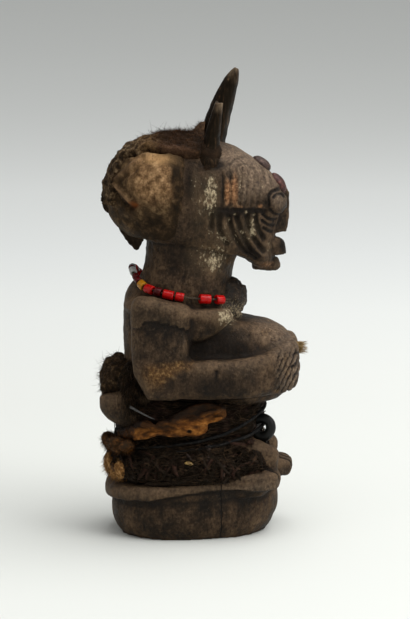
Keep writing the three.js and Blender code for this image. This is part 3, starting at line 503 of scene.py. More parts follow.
for side in (1, -1):
    leg_y, toe = side * 17.0, 53 + (9 if side > 0 else 0)
    thigh = eased(np.array([[-16, leg_y * 0.6, 68, 11.7], [4, leg_y * 0.85, 66, 12.6], [26, leg_y, 55, 10.4],
                            [42, leg_y, 50, 8.3], [50, leg_y, 48, 4.5]]), 6)
    body_grids += [
        slices(upper_arm_rows, square=3.2, centre_y=side * arm_out),
        limb(forearm_shares * [94.5, side * arm_out, 1, 8, 25] + [-31, 0, elbow, 0, 0]),
        slices(np.array([[0, 10, 0, 0.75], [0.18, 4, 0, 0.95], [0.5, 0, 0, 1], [0.8, 0, 0, 1], [1, 13, 0, 0.75]])
               * [21.5, 1, 1, 14] + [69.5, -58.5, -18, 0], square=2.5, centre_y=side * 13),
        # The shoulder is squared off in front, and the breast is left full beside each arm.
        slices([[134, -18, -3.6, 7.2], [141, -21, -2.0, 7.4], [145.5, -24, -2.6, 7.2], [148, -26, -6, 6.2],
                [149, -28, -12, 4]], widest=0.45, square=3.2, centre_y=side * 33.3),
        slices([[123.5, -8, 3, 3], [125.5, -10, 8, 4.6], [129, -12, 14, 5.6], [134, -12, 20, 6.2],
                [139, -12, 24, 6.6], [144, -12, 22, 5]], widest=0.45, square=3, centre_y=side * 28.5),
        tube(thigh[:, :3], thigh[:, 3], 32),
        slices([[35, 28, 48, 8.55], [44, 30, 52, 8.55], [51, 32, 53, 7.2], [56, 35, 50, 4.5]], square=2.6,
               centre_y=leg_y),
        slices(np.array([[0, -39.2, -9, 0.72], [0.35, -53.2, -2, 0.95], [0.8, -54.3, 0, 1], [1, -44.8, -8, 0.65]])
               * [17, 1, 1, 16] + [26, toe, toe, 0], widest=0.62, square=2.6, centre_y=side * 19),
    ]
block, rim = (np.array([[height, -51.5 + inset, 52.5 - inset + ahead, 37 - 0.8 * inset]
                        for height, inset, ahead in rows]) for rows in (
    [[0, 6.75, -3.15], [2.7, 3.42, -2.7], [9, 0.72, -1.8], [17.5, 0, 0], [29, 0.6, 0]],
    [[25.5, 1.5, -2], [27, -2.5, -4], [32.1, -3.1, -5], [35.4, -0.9, -5], [36.5, 4, -2]]))
body_grids += [slices(block, sides=80, widest=0.36, square=2.15),
               slices(rim, sides=80, widest=0.36, square=2.3, climb=6 / 104)]
body_points, body_normals, body_quads = fused(body_grids, 1.46, 3)


def mirrored(line):
    """A line of [x, y, z] on the left side, and the same on the right."""
    line = np.asarray(line, float)
    return line, line * [1, -1, 1]


# Three cuts part the fingers of each hand, one edge ends each wrist, a notch crosses each forearm, and the
# cloak of the shoulders stands proud of the upper arm over a stepped line.
wrist_edge, notch = [[46, 35.5, 118], [48.5, 36.5, 108], [48.5, 37, 98], [47, 36, 91]], [
    [13.5, 42, 108], [13.9, 42, 105], [13.2, 42, 101.5]]
fingers = [eased(np.array([[47, 37, -3], [55, 30.5, -1.5], [61.5, 21.5, 0], [65.5, 12, 1], [67.5, 3, 1.5]])
                 + [0, 0, elbow + 6 + 6.6 * finger], 3) for finger in (-1, 0, 1)]
body_cut = np.zeros(len(body_points))
for line, depth, width in (*((line, 0.75, 0.8) for line in fingers), (wrist_edge, 1.1, 1.1), (notch, 1.6, 0.9)):
    for side_line in mirrored(line):
        body_cut = np.maximum(body_cut, depth * bell((near(body_points, side_line), width)))
bx, by, bz = (body_points * 1000).T
# The backs of the hands are scored with fine slanting cuts.
hand_share = step(bx, 49, 52) * step(np.abs(by), 10, 16) * step(bz, 84, 90) * (1 - step(bz, 114, 122))
score = np.sin(2 * np.pi * (0.9 * bx - 0.44 * bz + 1.1 * rough(body_points, 9, 45, 2)) / 3.1)
body_cut += 0.8 * hand_share * np.clip(-0.1 - score, 0, 1)
step_height = np.interp(bx, [-45, -33, -29, -17, -8, 0, 6], [134, 135, 138.5, 137.3, 134.5, 132, 128])
below = step_height + 0.8 * rough(body_points, 5, 21, 2) - bz
under_step = np.clip((np.abs(by) - 33) / 5, 0, 1) * (bx < 8) * (bz > 112) * (below > 0)
shoulder_cut = 1.5 * under_step * bell((np.maximum(below, 0), 11), power=1)
shoulder_shade = under_step * bell((np.maximum(below, 0), 1.4), power=1)
toe_line = np.minimum.reduce([
    near(body_points, np.array([[tip - 10, y, 44.5], [tip - 2, y, 41], [tip + 0.5, y, 34]], float))
    for tip, y in ((62, 25.5), (62, 19.0), (62, 12.5), (53, -25.5), (53, -19.0), (53, -12.5))])
body_cut += 1.1 * bell((toe_line, 1.1))
# The rim was left thick and wavy, and broken in places; the block under it was dressed with long flat cuts.
edge_height = np.interp(bx, [-56, -40, -25, -18, -5, 17, 53], [23.8, 24.9, 26.6, 29.0, 30.4, 32.4, 30.2])
over_edge = bz - edge_height - 0.9 * rough(body_points * [1, 1, 0.3], 11, 33, 2)
block_long, block_wide = 52, 37
from_middle = np.hypot(bx / block_long, by / block_wide)
outside = np.clip((from_middle - 0.72) / 0.15, 0, 1)
ledge = outside * (1.5 / (1 + np.exp(-over_edge / 0.35)) / (1 + np.exp((over_edge - 8) / 1.2))
                   - bell((over_edge + 2.2, 2.0)))
ledge_shade = outside * bell((over_edge + 0.9, 1.1))
on_rim = bell((bz - 31 - 0.058 * bx, 7), power=4) * (from_middle > 0.85)
chips = np.clip(rough(body_points, 15, 31, 2) - 0.35, 0, 1) * 3.0
body_points[:, 2] += on_rim * 0.0012 * rough(body_points * [1, 1, 0], 28, 35, 2)
body_points += body_normals / 1000 * (
    -body_cut - shoulder_cut + ledge - on_rim * chips + 0.6 * rough(body_points, 17, 41, 3)
    + 0.22 * rough(body_points, 4.5, 47, 2, (1, 1, 1.5)) - 0.1)[:, None]
body_points[body_points[:, 2] < 0.0012, 2] = 0

# How much whitish clay, yellow crust, bare wood and grey dust lies at each point, from 0 to 1, and how much painted
# shade with soot: in the cuts and along the level line, under the nose and the head, under the rim's ledge and the
# shoulders' step, in the recess between arms and belly, and under the forearms and the girdle.
wood_points, wood_normals = np.concatenate([head_points, body_points]), np.concatenate([head_normals, body_normals])
wood_quads = np.concatenate([head_quads, body_quads + len(head_points)])
wx, wy, wz = (wood_points * 1000).T
on_head = np.arange(len(wood_points)) < len(head_points)


def patches(*spots):
    """The sum of soft spots on both sides of the figure. Each has a strength, its length and height in
    millimetres, and the width and the height over which it falls off as a bell; and, where it lies around one
    side place, that place and its breadth."""
    total = 0
    for strength, x, z, wide, tall, *side in spots:
        y, broad = side or (0, np.inf)
        total = total + strength * bell((wx - x, wide), (wz - z, tall), (wy - y, broad))
    return total


streaks = 0.5 + 0.5 * rough(wood_points, 4, 51, 3, (1, 1, 3))
# Single white specks lie down one cut of the temple, under the level line and on the ridges of the cheek.
specks = [(1.5, x, z, size, size) for x, z, size in (
    (28.4, 224.6, 0.9), (28.3, 222.2, 0.8), (27.9, 220.2, 0.8), (27.8, 218.4, 0.9), (27.3, 214.5, 0.8),
    (31.6, 203.3, 1.0), (36.6, 201.3, 0.9), (25.1, 202.2, 0.8), (21.1, 199.1, 1.0), (35.3, 198.2, 1.1),
    (35.5, 195.1, 1.1), (36.0, 191.9, 1.1), (36.8, 188.6, 1.0), (42.0, 218.2, 1.1), (29.5, 191, 0.9),
    (22, 206.5, 0.8))]
clay = np.where(on_head, patches(
    (1.15, 11.0, 217, 4.5, 13), (0.4, 4, 214, 9, 12), (0.9, 14, 171, 7, 9), (0.5, 1, 224, 3, 9),
    (0.55, 17, 188, 9, 12), (0.6, 2, 175, 10, 12), (0.65, 45, 180, 4, 6), (0.4, 4, 200, 8, 12),
    (0.4, 35, 191, 6, 9), (0.35, 28, 190, 14, 12), *specks
), patches((1.1, 20, 140, 9, 9), (0.3, -8, 108, 8, 6), (0.4, 45, 127, 4, 2.5)))
ochre = np.where(on_head, patches((0.6, 25, 171, 7, 6), (0.4, 10, 182, 9, 6), (0.3, 38, 184, 9, 9)), patches(
    (0.9, -21, 107, 12, 6.5), (0.8, -6, 111.5, 8, 3.5), (0.5, 56, 108, 6, 14), (0.8, 50, 92, 2.5, 3),
    (0.5, 44, 128, 6, 3), (0.4, -24, 97, 8, 7)))
bare = np.where(on_head, patches(
    (1.1, 20.2, 215.5, 2.1, 10), (1.2, 25.0, 217.5, 2.4, 12), (1.0, 40.4, 206.4, 1.9, 1.9),
    (0.7, 29, 206.6, 2.4, 1.4), (0.4, 47, 184, 5, 5), (0.62, 44, 169, 9, 4), (0.3, 32, 233, 7, 4)
), patches((0.3, 10, 23, 22, 9, -38, 14), (0.15, -34, 26, 9, 4, -38, 16), (0.35, -17, 103, 12, 6)))
dust = np.where(on_head, patches(
    (0.9, 26, 236, 22, 9), (0.85, 44, 222, 14, 12), (0.5, 53, 208, 6, 6), (0.4, 30, 216, 7, 11)
), patches(
    (0.6, 48, 130, 17, 12), (0.15, -26, 143, 14, 6), (1.0, 60, 104, 10, 18), (0.45, -41, 130, 2.2, 15),
    (0.4, -6, 126, 2.2, 9), (0.45, 34, 33, 20, 4), (0.3, 48, 38, 16, 8), (0.3, -20, 33, 40, 3)))
# Painted shade with soot: dark in the cuts, under the shoulders' step and the rim's ledge, and in patches of painted
# shade under the nose, the head, the forearms and the girdle and in the recess between arms and belly.
head_soot = np.clip(head_cut * 1.1, 0, 1) * (1 - 0.75 * temple_cut)
body_soot = np.clip((body_cut + 0.5 * shoulder_shade) * 1.1, 0, 1) + 0.9 * ledge_shade
soot = np.concatenate([head_soot, body_soot]) * np.where(on_head, 1 - patches((0.5, 54, 206, 7, 7)), 1)
soot += np.where(on_head, patches(
    (0.75, -2.5, 221, 4.5, 15), (1.1, 58, 180, 7, 6), (0.8, 24, 203, 20, 2.0), (0.5, -8, 176, 14, 9),
    (1.1, 12, 231.8, 7.5, 3.2)
), patches((0.5, 0, 62, 60, 12), (0.6, 12, 99, 26, 8)) + (np.abs(wy) < 32) * patches((2.2, 12, 115, 20, 10)))
# Convex edges are painted paler, most where they face up, as rubbing and a painted highlight from the light overhead,
# and hollows are painted darker as painted shade: how far each point stands over the mean of the skin around it.
links = np.concatenate([wood_quads[:, [k, (k + 1) % 4]] for k in range(4)])
shares = np.bincount(links.ravel(), minlength=len(wood_points))
calm, rounds_of_averaging = wood_points.copy(), 14
for _ in range(rounds_of_averaging):
    calm = np.stack([
        np.bincount(links[:, 0], calm[links[:, 1], k], len(wood_points))
        + np.bincount(links[:, 1], calm[links[:, 0], k], len(wood_points)) for k in range(3)
    ], 1) / shares[:, None]
stands = np.einsum("ij,ij->i", wood_points - calm, wood_normals) * 1000
# How far each point faces up, which makes the painted highlight on edges strongest on top.
upward = 0.25 + 0.75 * np.clip(wood_normals[:, 2] * 1.6 + 0.35, 0, 1)


def layer(made, **values):
    """Stores numbers from 0 to 1 for each point, which the finish reads."""
    for key, value in values.items():
        kept = made.data.attributes.new(key, "FLOAT", "POINT")
        kept.data.foreach_set("value", np.clip(value, 0, 1).astype(np.float32))


wood_figure = piece("wood_figure", "carved_wood", wood_points, wood_quads)
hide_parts("carved_figure")
# The levels carry painted light too: a painted highlight on edges that face up, and painted shade in hollows, cuts
# and recesses.
layer(wood_figure, clay=clay * (0.75 + 0.5 * streaks), ochre=ochre * (0.6 + 0.8 * streaks), bare=bare, dust=dust,
      soot=soot, worn=upward * stands / 0.6, hollow=-stands / 0.5)

# Smoked, greasy skins give back the light browner than it falls on them: the tint of their sheen, and a weaker one.
BROWN_SHEEN, WARM_SHEEN = (1.0, 0.74, 0.48, 1.0), (1.0, 0.93, 0.86, 1.0)
wood = Finish("smoked wood", 0.15, WARM_SHEEN)
grain = wood.noise(1.6, 6, 0.65, stretch=(1, 1, 5))
pores = wood.noise(0.55, 3, 0.7, 3.1, (1, 1, 2.2))
cloud = wood.noise(19, 5, 0.6, 1.7, (1, 1, 1.2))
speck = wood.noise(1.7, 6, 0.72, 7.7, (1, 1, 1.2))
blotch = wood.noise(5.5, 6, 0.68, 5.2, (1, 1, 1.2))
blend = cloud * 0.45 + blotch * 0.3 + (grain * 0.1 + speck * 0.15)
color = blend.ramp((0.41, 17, 11, 6), (0.47, 41, 30, 19), (0.53, 68, 52, 37), (0.6, 100, 80, 60))
color = color.mixed(speck.between(0.55, 0.7) * 0.42, (96, 80, 62))
color = color.mixed(speck.between(0.46, 0.34) * 0.7, (15, 10, 7))
# Edges that face up are paler, as rubbing and a painted highlight; then the hollows get painted shade.
color = color.mixed((wood.level("worn") * (blotch + 0.4)).between(0.15, 0.95) * 0.55,
                    speck.ramp((0.35, 74, 58, 44), (0.65, 122, 100, 76)))
color = color.mixed(wood.level("hollow").between(0.1, 0.9) * 0.75, (15, 11, 9))
color = color.mixed((wood.level("bare") * (speck + 0.3)).between(0.34, 0.9) * 0.85,
                    speck.ramp((0.34, 96, 62, 37), (0.5, 152, 104, 66), (0.66, 200, 154, 112)))
color = color.mixed((wood.level("dust") * (blend + 0.4)).between(0.25, 0.95),
                    speck.ramp((0.35, 68, 55, 45), (0.52, 112, 94, 77), (0.68, 154, 134, 111)))
color = color.mixed((wood.level("ochre") * (blotch + 0.2)).between(0.22, 0.62),
                    speck.ramp((0.34, 44, 29, 15), (0.5, 86, 60, 33), (0.6, 120, 90, 52), (0.68, 150, 122, 80)))
# Painted shade with soot darkens the colour.
color = color.mixed((wood.level("soot") * (blotch + 0.6)).between(0.1, 0.8),
                    speck.ramp((0.38, 8, 4, 2), (0.52, 19, 12, 6), (0.66, 36, 26, 17)))
fleck = wood.noise(1.6, 5, 0.65, 9.3, (1, 1, 1.8))
clay_share = (wood.level("clay") * 0.3 - (0.75 - (fleck * 0.7 + blotch * 0.3))).between(0.0, 0.1)
color = color.mixed(wood.level("clay").between(0.2, 1.2) * 0.35, (112, 94, 70))
color = color.mixed(clay_share, pores.ramp((0.35, 124, 106, 80), (0.6, 204, 187, 154)))
color = color.mixed(pores.between(0.36, 0.27) * 0.6, (14, 10, 8))
# One check runs up each side of the block, from its foot to the rim, a little ahead of the middle.
along, height = (add(wood.tree, "SeparateXYZ", {"Vector": wood.coords}, axis) for axis in "XZ")
check_along, check_top, check_wander = 0.0168, 0.0385, 0.004
check = (along + (wood.noise(9, 3, stretch=(4, 4, 1)) - 0.5) * check_wander - check_along).maths("ABSOLUTE")
check = check.between(0.00045, 0.0001) * height.maths("LESS_THAN", check_top)
wood.lay([wood_figure], color.mixed(check, (14, 10, 8)), blend.ramp((0.4, 0.42), (0.6, 0.78)),
         (blotch, 1.2), (grain, 0.3), (pores, 0.25), (clay_share, 0.25), (speck, 0.7), (1.0 - check, 0.6))


# Horns
# Two small antelope horns, black and hard, set in holes in the crown. The left is long with a smooth grey tip;
# the right is short and its tip is broken and pale.
def horn(name, side, foot_z, length, sweep, radii, node, broken):
    """A round taper whose middle line runs up and bends forward as sweep times height times (0.22 share + 0.17
    share squared), with faint rings and lengthwise ribs on it."""
    share = np.linspace(-0.16, 1, 90)
    path = np.stack([8.8 + sweep * length * (0.22 * share + 0.17 * share**2),
                     side * (17.5 + 1.7 * bell((share - 0.08, 0.12))), foot_z + length * share], 1)
    radius = np.interp(share, [0, 0.16, 0.4, 0.65, 0.86, 1], radii)
    radius += 1.5 * bell((share - 0.09, 0.07)) - 3.5 * (1 - step(share, -0.06, 0.07))
    if not broken:
        radius[-12:] = radius[-12] * np.sqrt(np.linspace(1, 0.06, 12))
    grid, centre = tube(path, radius, 40), path[:, None] / 1000
    share, radius = share[:, None], radius[:, None]
    ribs = 0.10 * np.sin(7 * angles(40) + 2) + 0.13 * np.sin(share * 46) * (share < 0.6)
    jag = rough(grid.reshape(-1, 3), 3.5, 61 + side, 3).reshape(90, 40)
    grid = centre + (grid - centre) * (1 + (ribs + 0.12 * jag) / np.maximum(radius, 1))[..., None]
    grid[..., 2] += bell((1 - share, 0.05), power=1) * broken * jag * 0.0016
    made = piece(name, "dark_horn", *closed_skins(grid))
    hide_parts(node)
    layer(made, tip=np.concatenate([np.repeat((share - 0.8) / 0.2, 40), [0, 1]]))
    return made


left_horn = horn("long_horn", 1, 231, 56, 0.8, np.array([1, 0.98, 0.9, 0.76, 0.54, 0.33]) * 8.6, "left_horn", 0)
right_horn = horn("short_horn", -1, 229, 40, 0.42, np.array([1, 0.98, 0.84, 0.68, 0.52, 0.38]) * 6.0,
                  "right_horn", 1)
black_horn = Finish("black horn", 0.14, BROWN_SHEEN)
streak = black_horn.noise(1.2, 5, stretch=(1, 1, 18))
cloud = black_horn.noise(7, 4, 0.6, 2.0, (1, 1, 2))
color = streak.ramp((0.36, 3, 2, 1), (0.52, 13, 9, 6), (0.62, 38, 26, 16), (0.72, 84, 62, 42))
color = color.mixed((black_horn.level("tip") * (cloud + 0.45)).between(0.15, 0.9),
                    cloud.ramp((0.35, 40, 31, 24), (0.6, 104, 88, 70)))
black_horn.lay([left_horn, right_horn], color, cloud.ramp((0.35, 0.38), (0.65, 0.66)), (streak, 0.3), (cloud, 0.25))


# Head hide
# A dried piece of pale hide, pulled wet over the back and sides of the head. It bulges over padding behind
# each temple, is creased and seamed at the back, and shrinks thin and dark towards the neck.
skull_middle, skull_reach = np.array([-10.0, 0.0, 208.0]), 75.0


def sky(turn, up):
    """Directions at an angle around from straight behind and an angle over the level."""
    return np.stack([-np.cos(up) * np.cos(turn), -np.cos(up) * np.sin(turn), np.sin(up)], -1).reshape(-1, 3)


def skull(directions):
    """Points of the bare head, in millimetres, in the given directions from a place inside it. The reach is
    halved down until the squared ellipse at that height holds the point."""
    near_end, far_end = np.zeros(len(directions)), np.full(len(directions), skull_reach)
    for _ in range(22):
        middle = (near_end + far_end) / 2
        x, y, z = (skull_middle + directions * middle[:, None]).T
        back, front = (np.interp(z, fine_head[:, 0], fine_head[:, k]) for k in (1, 2))
        inside = (z < 245) & (z > 165) & (x > back) & (x < front) & (np.abs(y) < head_side(x, z))
        near_end = np.where(inside, middle, near_end)
        far_end = np.where(inside, far_end, middle)
    return skull_middle + directions * near_end[:, None]


def seam(x):
    """The height of the seam where the two hides meet, at a length."""
    return np.interp(x, [-52, -48.5, -42.65, -28.9, -10.2, -1.95], [209.8, 223.4, 235.8, 240.6, 239.4, 237.4])


def walled(rims, first):
    """Faces that join the rims of a sheet, as lists of point numbers, to those of its copy `first` points on."""
    return np.concatenate([np.stack([rim, np.roll(rim, -1), np.roll(rim, -1) + first, rim + first], 1)
                           for rim in rims])


def rim_of(rows, columns):
    """The point numbers around the outside of a grid."""
    index = np.arange(rows * columns).reshape(rows, columns)
    return np.concatenate([index[0, :-1], index[:-1, -1], index[-1, :0:-1], index[:0:-1, 0]])


def hide_shell(name, azimuths, heights, thickness, slot, lift=0.0):
    """A layer on the head between two ways round and two heights above the level, in degrees. Its outside is the
    skull moved out by a thickness, its inside lies a little under the wood's surface, and the two meet at its
    rim. Its low edge is lifted by an angle in front. `thickness` gives the thickness and the levels that the mesh
    carries from the skull's points."""
    around, up = np.meshgrid(np.radians(azimuths), np.radians(heights), indexing="ij")
    in_front = step(np.abs(np.degrees(around)), 95, 125)
    up = up + np.radians(lift) * in_front * (up[:, -1:] - up) / (up[0, -1] - up[0, 0])
    away = sky(around, up)
    on = skull(away)
    thick, carried = thickness(on, away)
    whole, sunk = azimuths[-1] - azimuths[0] > 350, 2.1
    quads, index = net(*around.shape, whole), np.arange(around.size).reshape(around.shape)
    rims = [index[:, -1], index[::-1, 0]] if whole else [rim_of(*around.shape)]
    made = piece(name, slot, np.concatenate([on + away * thick[:, None], on - away * sunk]) / 1000,
                 np.concatenate([quads[:, ::-1], quads + around.size, walled(rims, around.size)]))
    layer(made, **{key: np.tile(value, 2) for key, value in carried.items()})
    return made


def head_hide_thickness(on, away):
    """The pale hide: a bulge behind each temple, a thin skirt under it, a folded seam at the back."""
    m = on / 1000
    x, y, z = on.T
    bulge = 3.3 * bell((x + 22, 15.5), (z - 220, 15), power=4) * step(np.abs(y), 8, 20)
    x, y, z = (on + away * (2.3 + bulge)[:, None]).T
    wobble = rough(m, 7, 71, 3)
    front = np.interp(z, [180, 187, 206, 214, 240], [-14, -11, -6.4, -5.4, -4.7]) + 1.2 * wobble
    low, over = 183.5 + 1.6 * rough(m, 9, 75, 2), seam(x) - 0.6 + 0.9 * rough(m, 6, 77, 2)
    there = step(front - x, -0.9, 4.5) * step(z - low, -1.6, 3.6) * step(over - z, -0.8, 0.7)
    crease = np.array([[-51, 0, 221], [-46, 0, 217], [-41.5, 0, 212.5], [-38.4, 0, 209.6]])
    upper_crease = np.array([[-50, 0, 221], [-44, 0, 226], [-38, 0, 231.5], [-33, 0, 234.5]])
    flat = np.stack([x, np.zeros_like(x), z], 1) / 1000
    rib, rib_up = near(flat, crease), near(flat, upper_crease)
    behind = bell((x + 47, 7), (z - 208, 9))
    under_rib = step(np.interp(x, crease[:, 0], crease[:, 2]) - z, -0.5, 1.5)
    valley = bell((rib - 3.2, 1.8)) * (0.35 + 0.65 * under_rib) * (z < 221)
    folds = 2.2 * bell((rib, 1.1)) - 1.9 * valley + 1.3 * bell((rib_up, 1.4)) - bell((rib_up - 2.6, 1.3)) - behind
    wrinkle = 0.55 * rough(m, 9, 81, 4) + 0.25 * np.sin(z / 1.9 + 5 * rough(m, 16, 83, 2)) * (z < 205)
    dark_front = 1.4 * step(x + 2.2 * wobble + 0.2 * np.maximum(z - 226, 0), -17, -8.5) * step(z, 198, 210)
    # The dark level is partly the hide's own colour, darker towards the neck and along its front, and partly painted
    # shade: in the valley beside the rib, in the hollow behind it, and along the hide's rim where it meets the wood.
    # The rib level is a painted highlight along the raised rib and the upper fold.
    return there * (2.3 + bulge + folds + wrinkle) - (1 - there) * 0.9, {
        "light": bell((x + 23.5 + 2 * wobble, 17), (z - 225, 16), power=3),
        "dark": step(209 - z, 0, 15) * (0.55 + 0.6 * step(x, -42, -26)) + 0.35 * behind + 0.8 * valley + dark_front
        + 0.8 * (1 - there) * step(there, 0.02, 0.4),
        "orange": bell((x + 36.6, 2.6), (z - 208.2, 1.8)), "top": bell((x + 22, 9), (z - 236, 3)),
        "rib": bell((rib, 0.9)) + 0.5 * bell((rib_up, 1.0))}


pale_hide = hide_shell("pale_head_hide", np.linspace(-101, 101, 170), np.linspace(-44, 62, 100),
                       head_hide_thickness, "tan_hide")
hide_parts("head_hide")
hide = Finish("dried pale hide", 0.15, BROWN_SHEEN)
mottle = hide.noise(5, 7, 0.68)
fine = hide.noise(0.9, 4, 0.7, 4.0, (1, 1, 1.5))
cloud = hide.noise(13, 4, 0.6, 9.0)
color = mottle.ramp((0.34, 28, 20, 13), (0.5, 62, 47, 31), (0.66, 108, 86, 60)).mixed(
    (hide.level("light") * (cloud + 0.55)).between(0.2, 0.85),
    mottle.ramp((0.34, 60, 42, 27), (0.46, 102, 76, 50), (0.58, 148, 116, 82), (0.7, 184, 151, 111)))
# The hide's own darker parts, with painted shade in the valley, the hollow behind and along the rim.
color = color.mixed((hide.level("dark") * (cloud + 0.5)).between(0.15, 0.9),
                    mottle.ramp((0.36, 13, 9, 5), (0.5, 33, 24, 15), (0.64, 72, 55, 37)))
# The rib is painted lighter, as a painted highlight on the raised rib.
for name, share, shade in (
    ("top", 0.6, (176, 138, 92)), ("rib", 0.6, (126, 98, 72)), ("orange", 0.75, (120, 62, 24)),
):
    color = color.mixed(hide.level(name) * share, shade)
hide.lay([pale_hide], color.mixed(fine.between(0.46, 0.3) * 0.75, (36, 24, 15)),
         mottle.ramp((0.3, 0.62), (0.7, 0.85)), (mottle, 1.1), (fine, 0.35))


# Crown hide
# A rough, hairy hide laid over the crown, from the horns to the back of the head. Its edge is rolled over the
# pale hide, it is torn into crusty plates behind, and it rises as a collar around the left horn.
def crown_thickness(on, away):
    """The crown hide: lumps and torn plates, a rolled lower edge, and a cone around the long horn."""
    m = on / 1000
    x, y, z = (on + away * 3.2).T
    under = seam(x) + 0.4 + 1.1 * rough(m, 6, 91, 3)
    under = np.where(x + 1.8 * rough(m, 8, 93, 3) < -49.5, np.minimum(under, 204 + 2 * rough(m, 7, 92, 2)), under)
    front = 6.6 + 2.2 * rough(m, 7, 95, 3) - 0.12 * np.abs(y)
    there = step(z - under, -0.7, 0.8) * step(front - x, -0.8, 0.9)
    right_far, left_far = np.hypot(x - 9.6, y + 18.5), np.hypot(x - 11, y - 17.5)
    foot = step(9.6 + 3.4 * rough(m, 5, 99, 3) - right_far, -0.7, 0.8)
    plates = np.clip(rough(m, 6.5, 97, 3) * 2.6, -1, 1) * step(-x, 12, 30)
    fluffy = 1.2 * rough(m, 4.0, 101, 4)
    collar = 8.5 * bell((left_far - 8.5, 3.6)) * step(left_far, 5, 8.5) * step(12 - x, 0, 4)
    thick = there * (3.9 + 0.8 * bell((z - under - 2.2, 1.8)) + 0.65 * plates + fluffy + collar) - (1 - there) * 1.6
    high = 0.7 + 4.4 * bell((right_far - 4, 3.6)) + 0.4 * fluffy
    return np.maximum(thick, foot * high - (1 - foot) * 1.6), {
        "red": bell((x + 9, 12)) * step(z, 236, 242), "pink": 0.8 * bell((x + 13, 10), (z - under - 1.6, 1.6)),
        "plate": step(-x, 16, 34), "skin": bell((left_far - 9, 4.5)) * (y > 0),
        "tan": bell((x + 27, 6)) * step(z, 234, 240), "foot": foot}


crown = hide_shell("crown_hide_skin", np.linspace(-180, 180, 210, endpoint=False), np.linspace(-2, 89.9, 84),
                   crown_thickness, "crown_hide", 25)
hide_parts("crown_hide")
rough_hide = Finish("rough crown hide", 0.2, BROWN_SHEEN, Roughness=0.88)
lumps, fine = rough_hide.noise(3.5, 7, 0.7), rough_hide.noise(0.7, 4, 0.7, 3.0)
color = lumps.ramp((0.34, 14, 9, 6), (0.5, 38, 25, 16), (0.66, 80, 57, 38)).mixed(
    rough_hide.level("plate"),
    lumps.ramp((0.36, 15, 10, 7), (0.46, 46, 34, 22), (0.55, 84, 66, 46), (0.66, 138, 116, 88)))
for name, share, shade in (
    ("tan", 0.6, lumps.ramp((0.38, 58, 40, 24), (0.6, 140, 108, 70))),
    ("red", 0.6, fine.ramp((0.35, 20, 11, 7), (0.65, 60, 38, 25))),
    ("pink", 0.65, fine.ramp((0.35, 88, 60, 44), (0.65, 134, 100, 76))),
    ("skin", 0.8, lumps.ramp((0.35, 60, 42, 30), (0.65, 118, 90, 66))),
):
    color = color.mixed(rough_hide.level(name) * share, shade)
color = color.mixed(lumps.between(0.42, 0.32) * 0.8, (18, 13, 10))
# The short horn's foot is darkened: its dark skin, and painted shade where the horn meets the head.
color = color.mixed(rough_hide.level("foot") * 0.7, (22, 15, 11))
rough_hide.lay([crown], color, None, (lumps, 2.0), (fine, 0.8))


# Crown hair
# Short dark brown hairs left on the crown hide, thickest between the horns and the middle of the crown, matted
# and lying back, with a few long fine ones that stand up.
def threads(name, slot, lines, side, other, reach):
    """Closed three-sided threads in one mesh, each carried along its own line of places, with two directions
    across it and its radius at all places but the last, where it ends in a point."""
    count, places = lines.shape[:2]
    turn = angles(3)[:, None]
    ring = side[:, :, None] * np.cos(turn) + other[:, :, None] * np.sin(turn)
    points = lines[:, :-1, None] + ring * reach[:, :, None, None]
    points = np.concatenate([points.reshape(count, -1, 3), lines[:, -1:]], axis=1) / 1000
    last, tip = 3 * (places - 2), 3 * (places - 1)
    first = ((tip + 1) * np.arange(count))[:, None, None]
    ends = np.array([[last + s, last + (s + 1) % 3, tip] for s in range(3)] + [[2, 1, 0]])
    return piece(name, slot, points, first + net(places - 1, 3, False, True), first + ends)


def fur(name, dark, middle, light, size=2.0, roughness=0.65):
    """Hair: three tones laid by fine noise, and a soft gloss."""
    made = Finish(name, 0.15, BROWN_SHEEN, Roughness=roughness)
    made.color = made.noise(size, 4, 0.75).ramp((0.32, *dark), (0.5, *middle), (0.68, *light))
    return made


rng, tries = np.random.default_rng(11), 13000
way_round = rng.uniform(-np.pi, np.pi, tries)
away = sky(way_round, np.radians(rng.uniform(14, 90, tries)))
on = skull(away)
keep = (np.interp(on[:, 0], [-50, -36, -28, -20, 0, 5, 7], [0.0, 0.03, 0.3, 1, 1, 0.8, 0]) > rng.random(tries)) \
    & (on[:, 2] + 3 * away[:, 2] > seam(on[:, 0]) + 0.6)
away, on = away[keep], on[keep]
thick, _ = crown_thickness(on, away)
roots = on + away * (thick[:, None] - 0.6)
ways = unit(0.6 * away + rng.normal(size=away.shape) * 0.7 + [-0.7, 0, 0])
lengths = (rng.uniform(1.6, 4.2, len(on)) * (1 + 1.1 * (rng.random(len(on)) > 0.975)))[:, None]
# Each hair runs from its root along its way and is bent by a random amount and down.
rng, t = np.random.default_rng(12), np.linspace(0, 1, 4)[:, None]
curl = (rng.normal(size=(len(on), 3)) * [1, 1, 0.7] - [0, 0, 0.35]) * 0.45 * lengths
side = unit(np.cross(ways, rng.normal(size=(len(on), 3))))
crown_hair = threads("crown_hair", "crown_hide",
                     roots[:, None] + (ways * lengths)[:, None] * t + curl[:, None] * t**2, side[:, None],
                     np.cross(ways, side)[:, None], np.tile(0.12 * (1 - 0.8 * t[:-1, 0]), (len(on), 1)))
brown_hair = fur("dark brown hair", (12, 7, 5), (38, 23, 14), (92, 62, 40), 5.0)
brown_hair.lay([crown_hair], brown_hair.color)


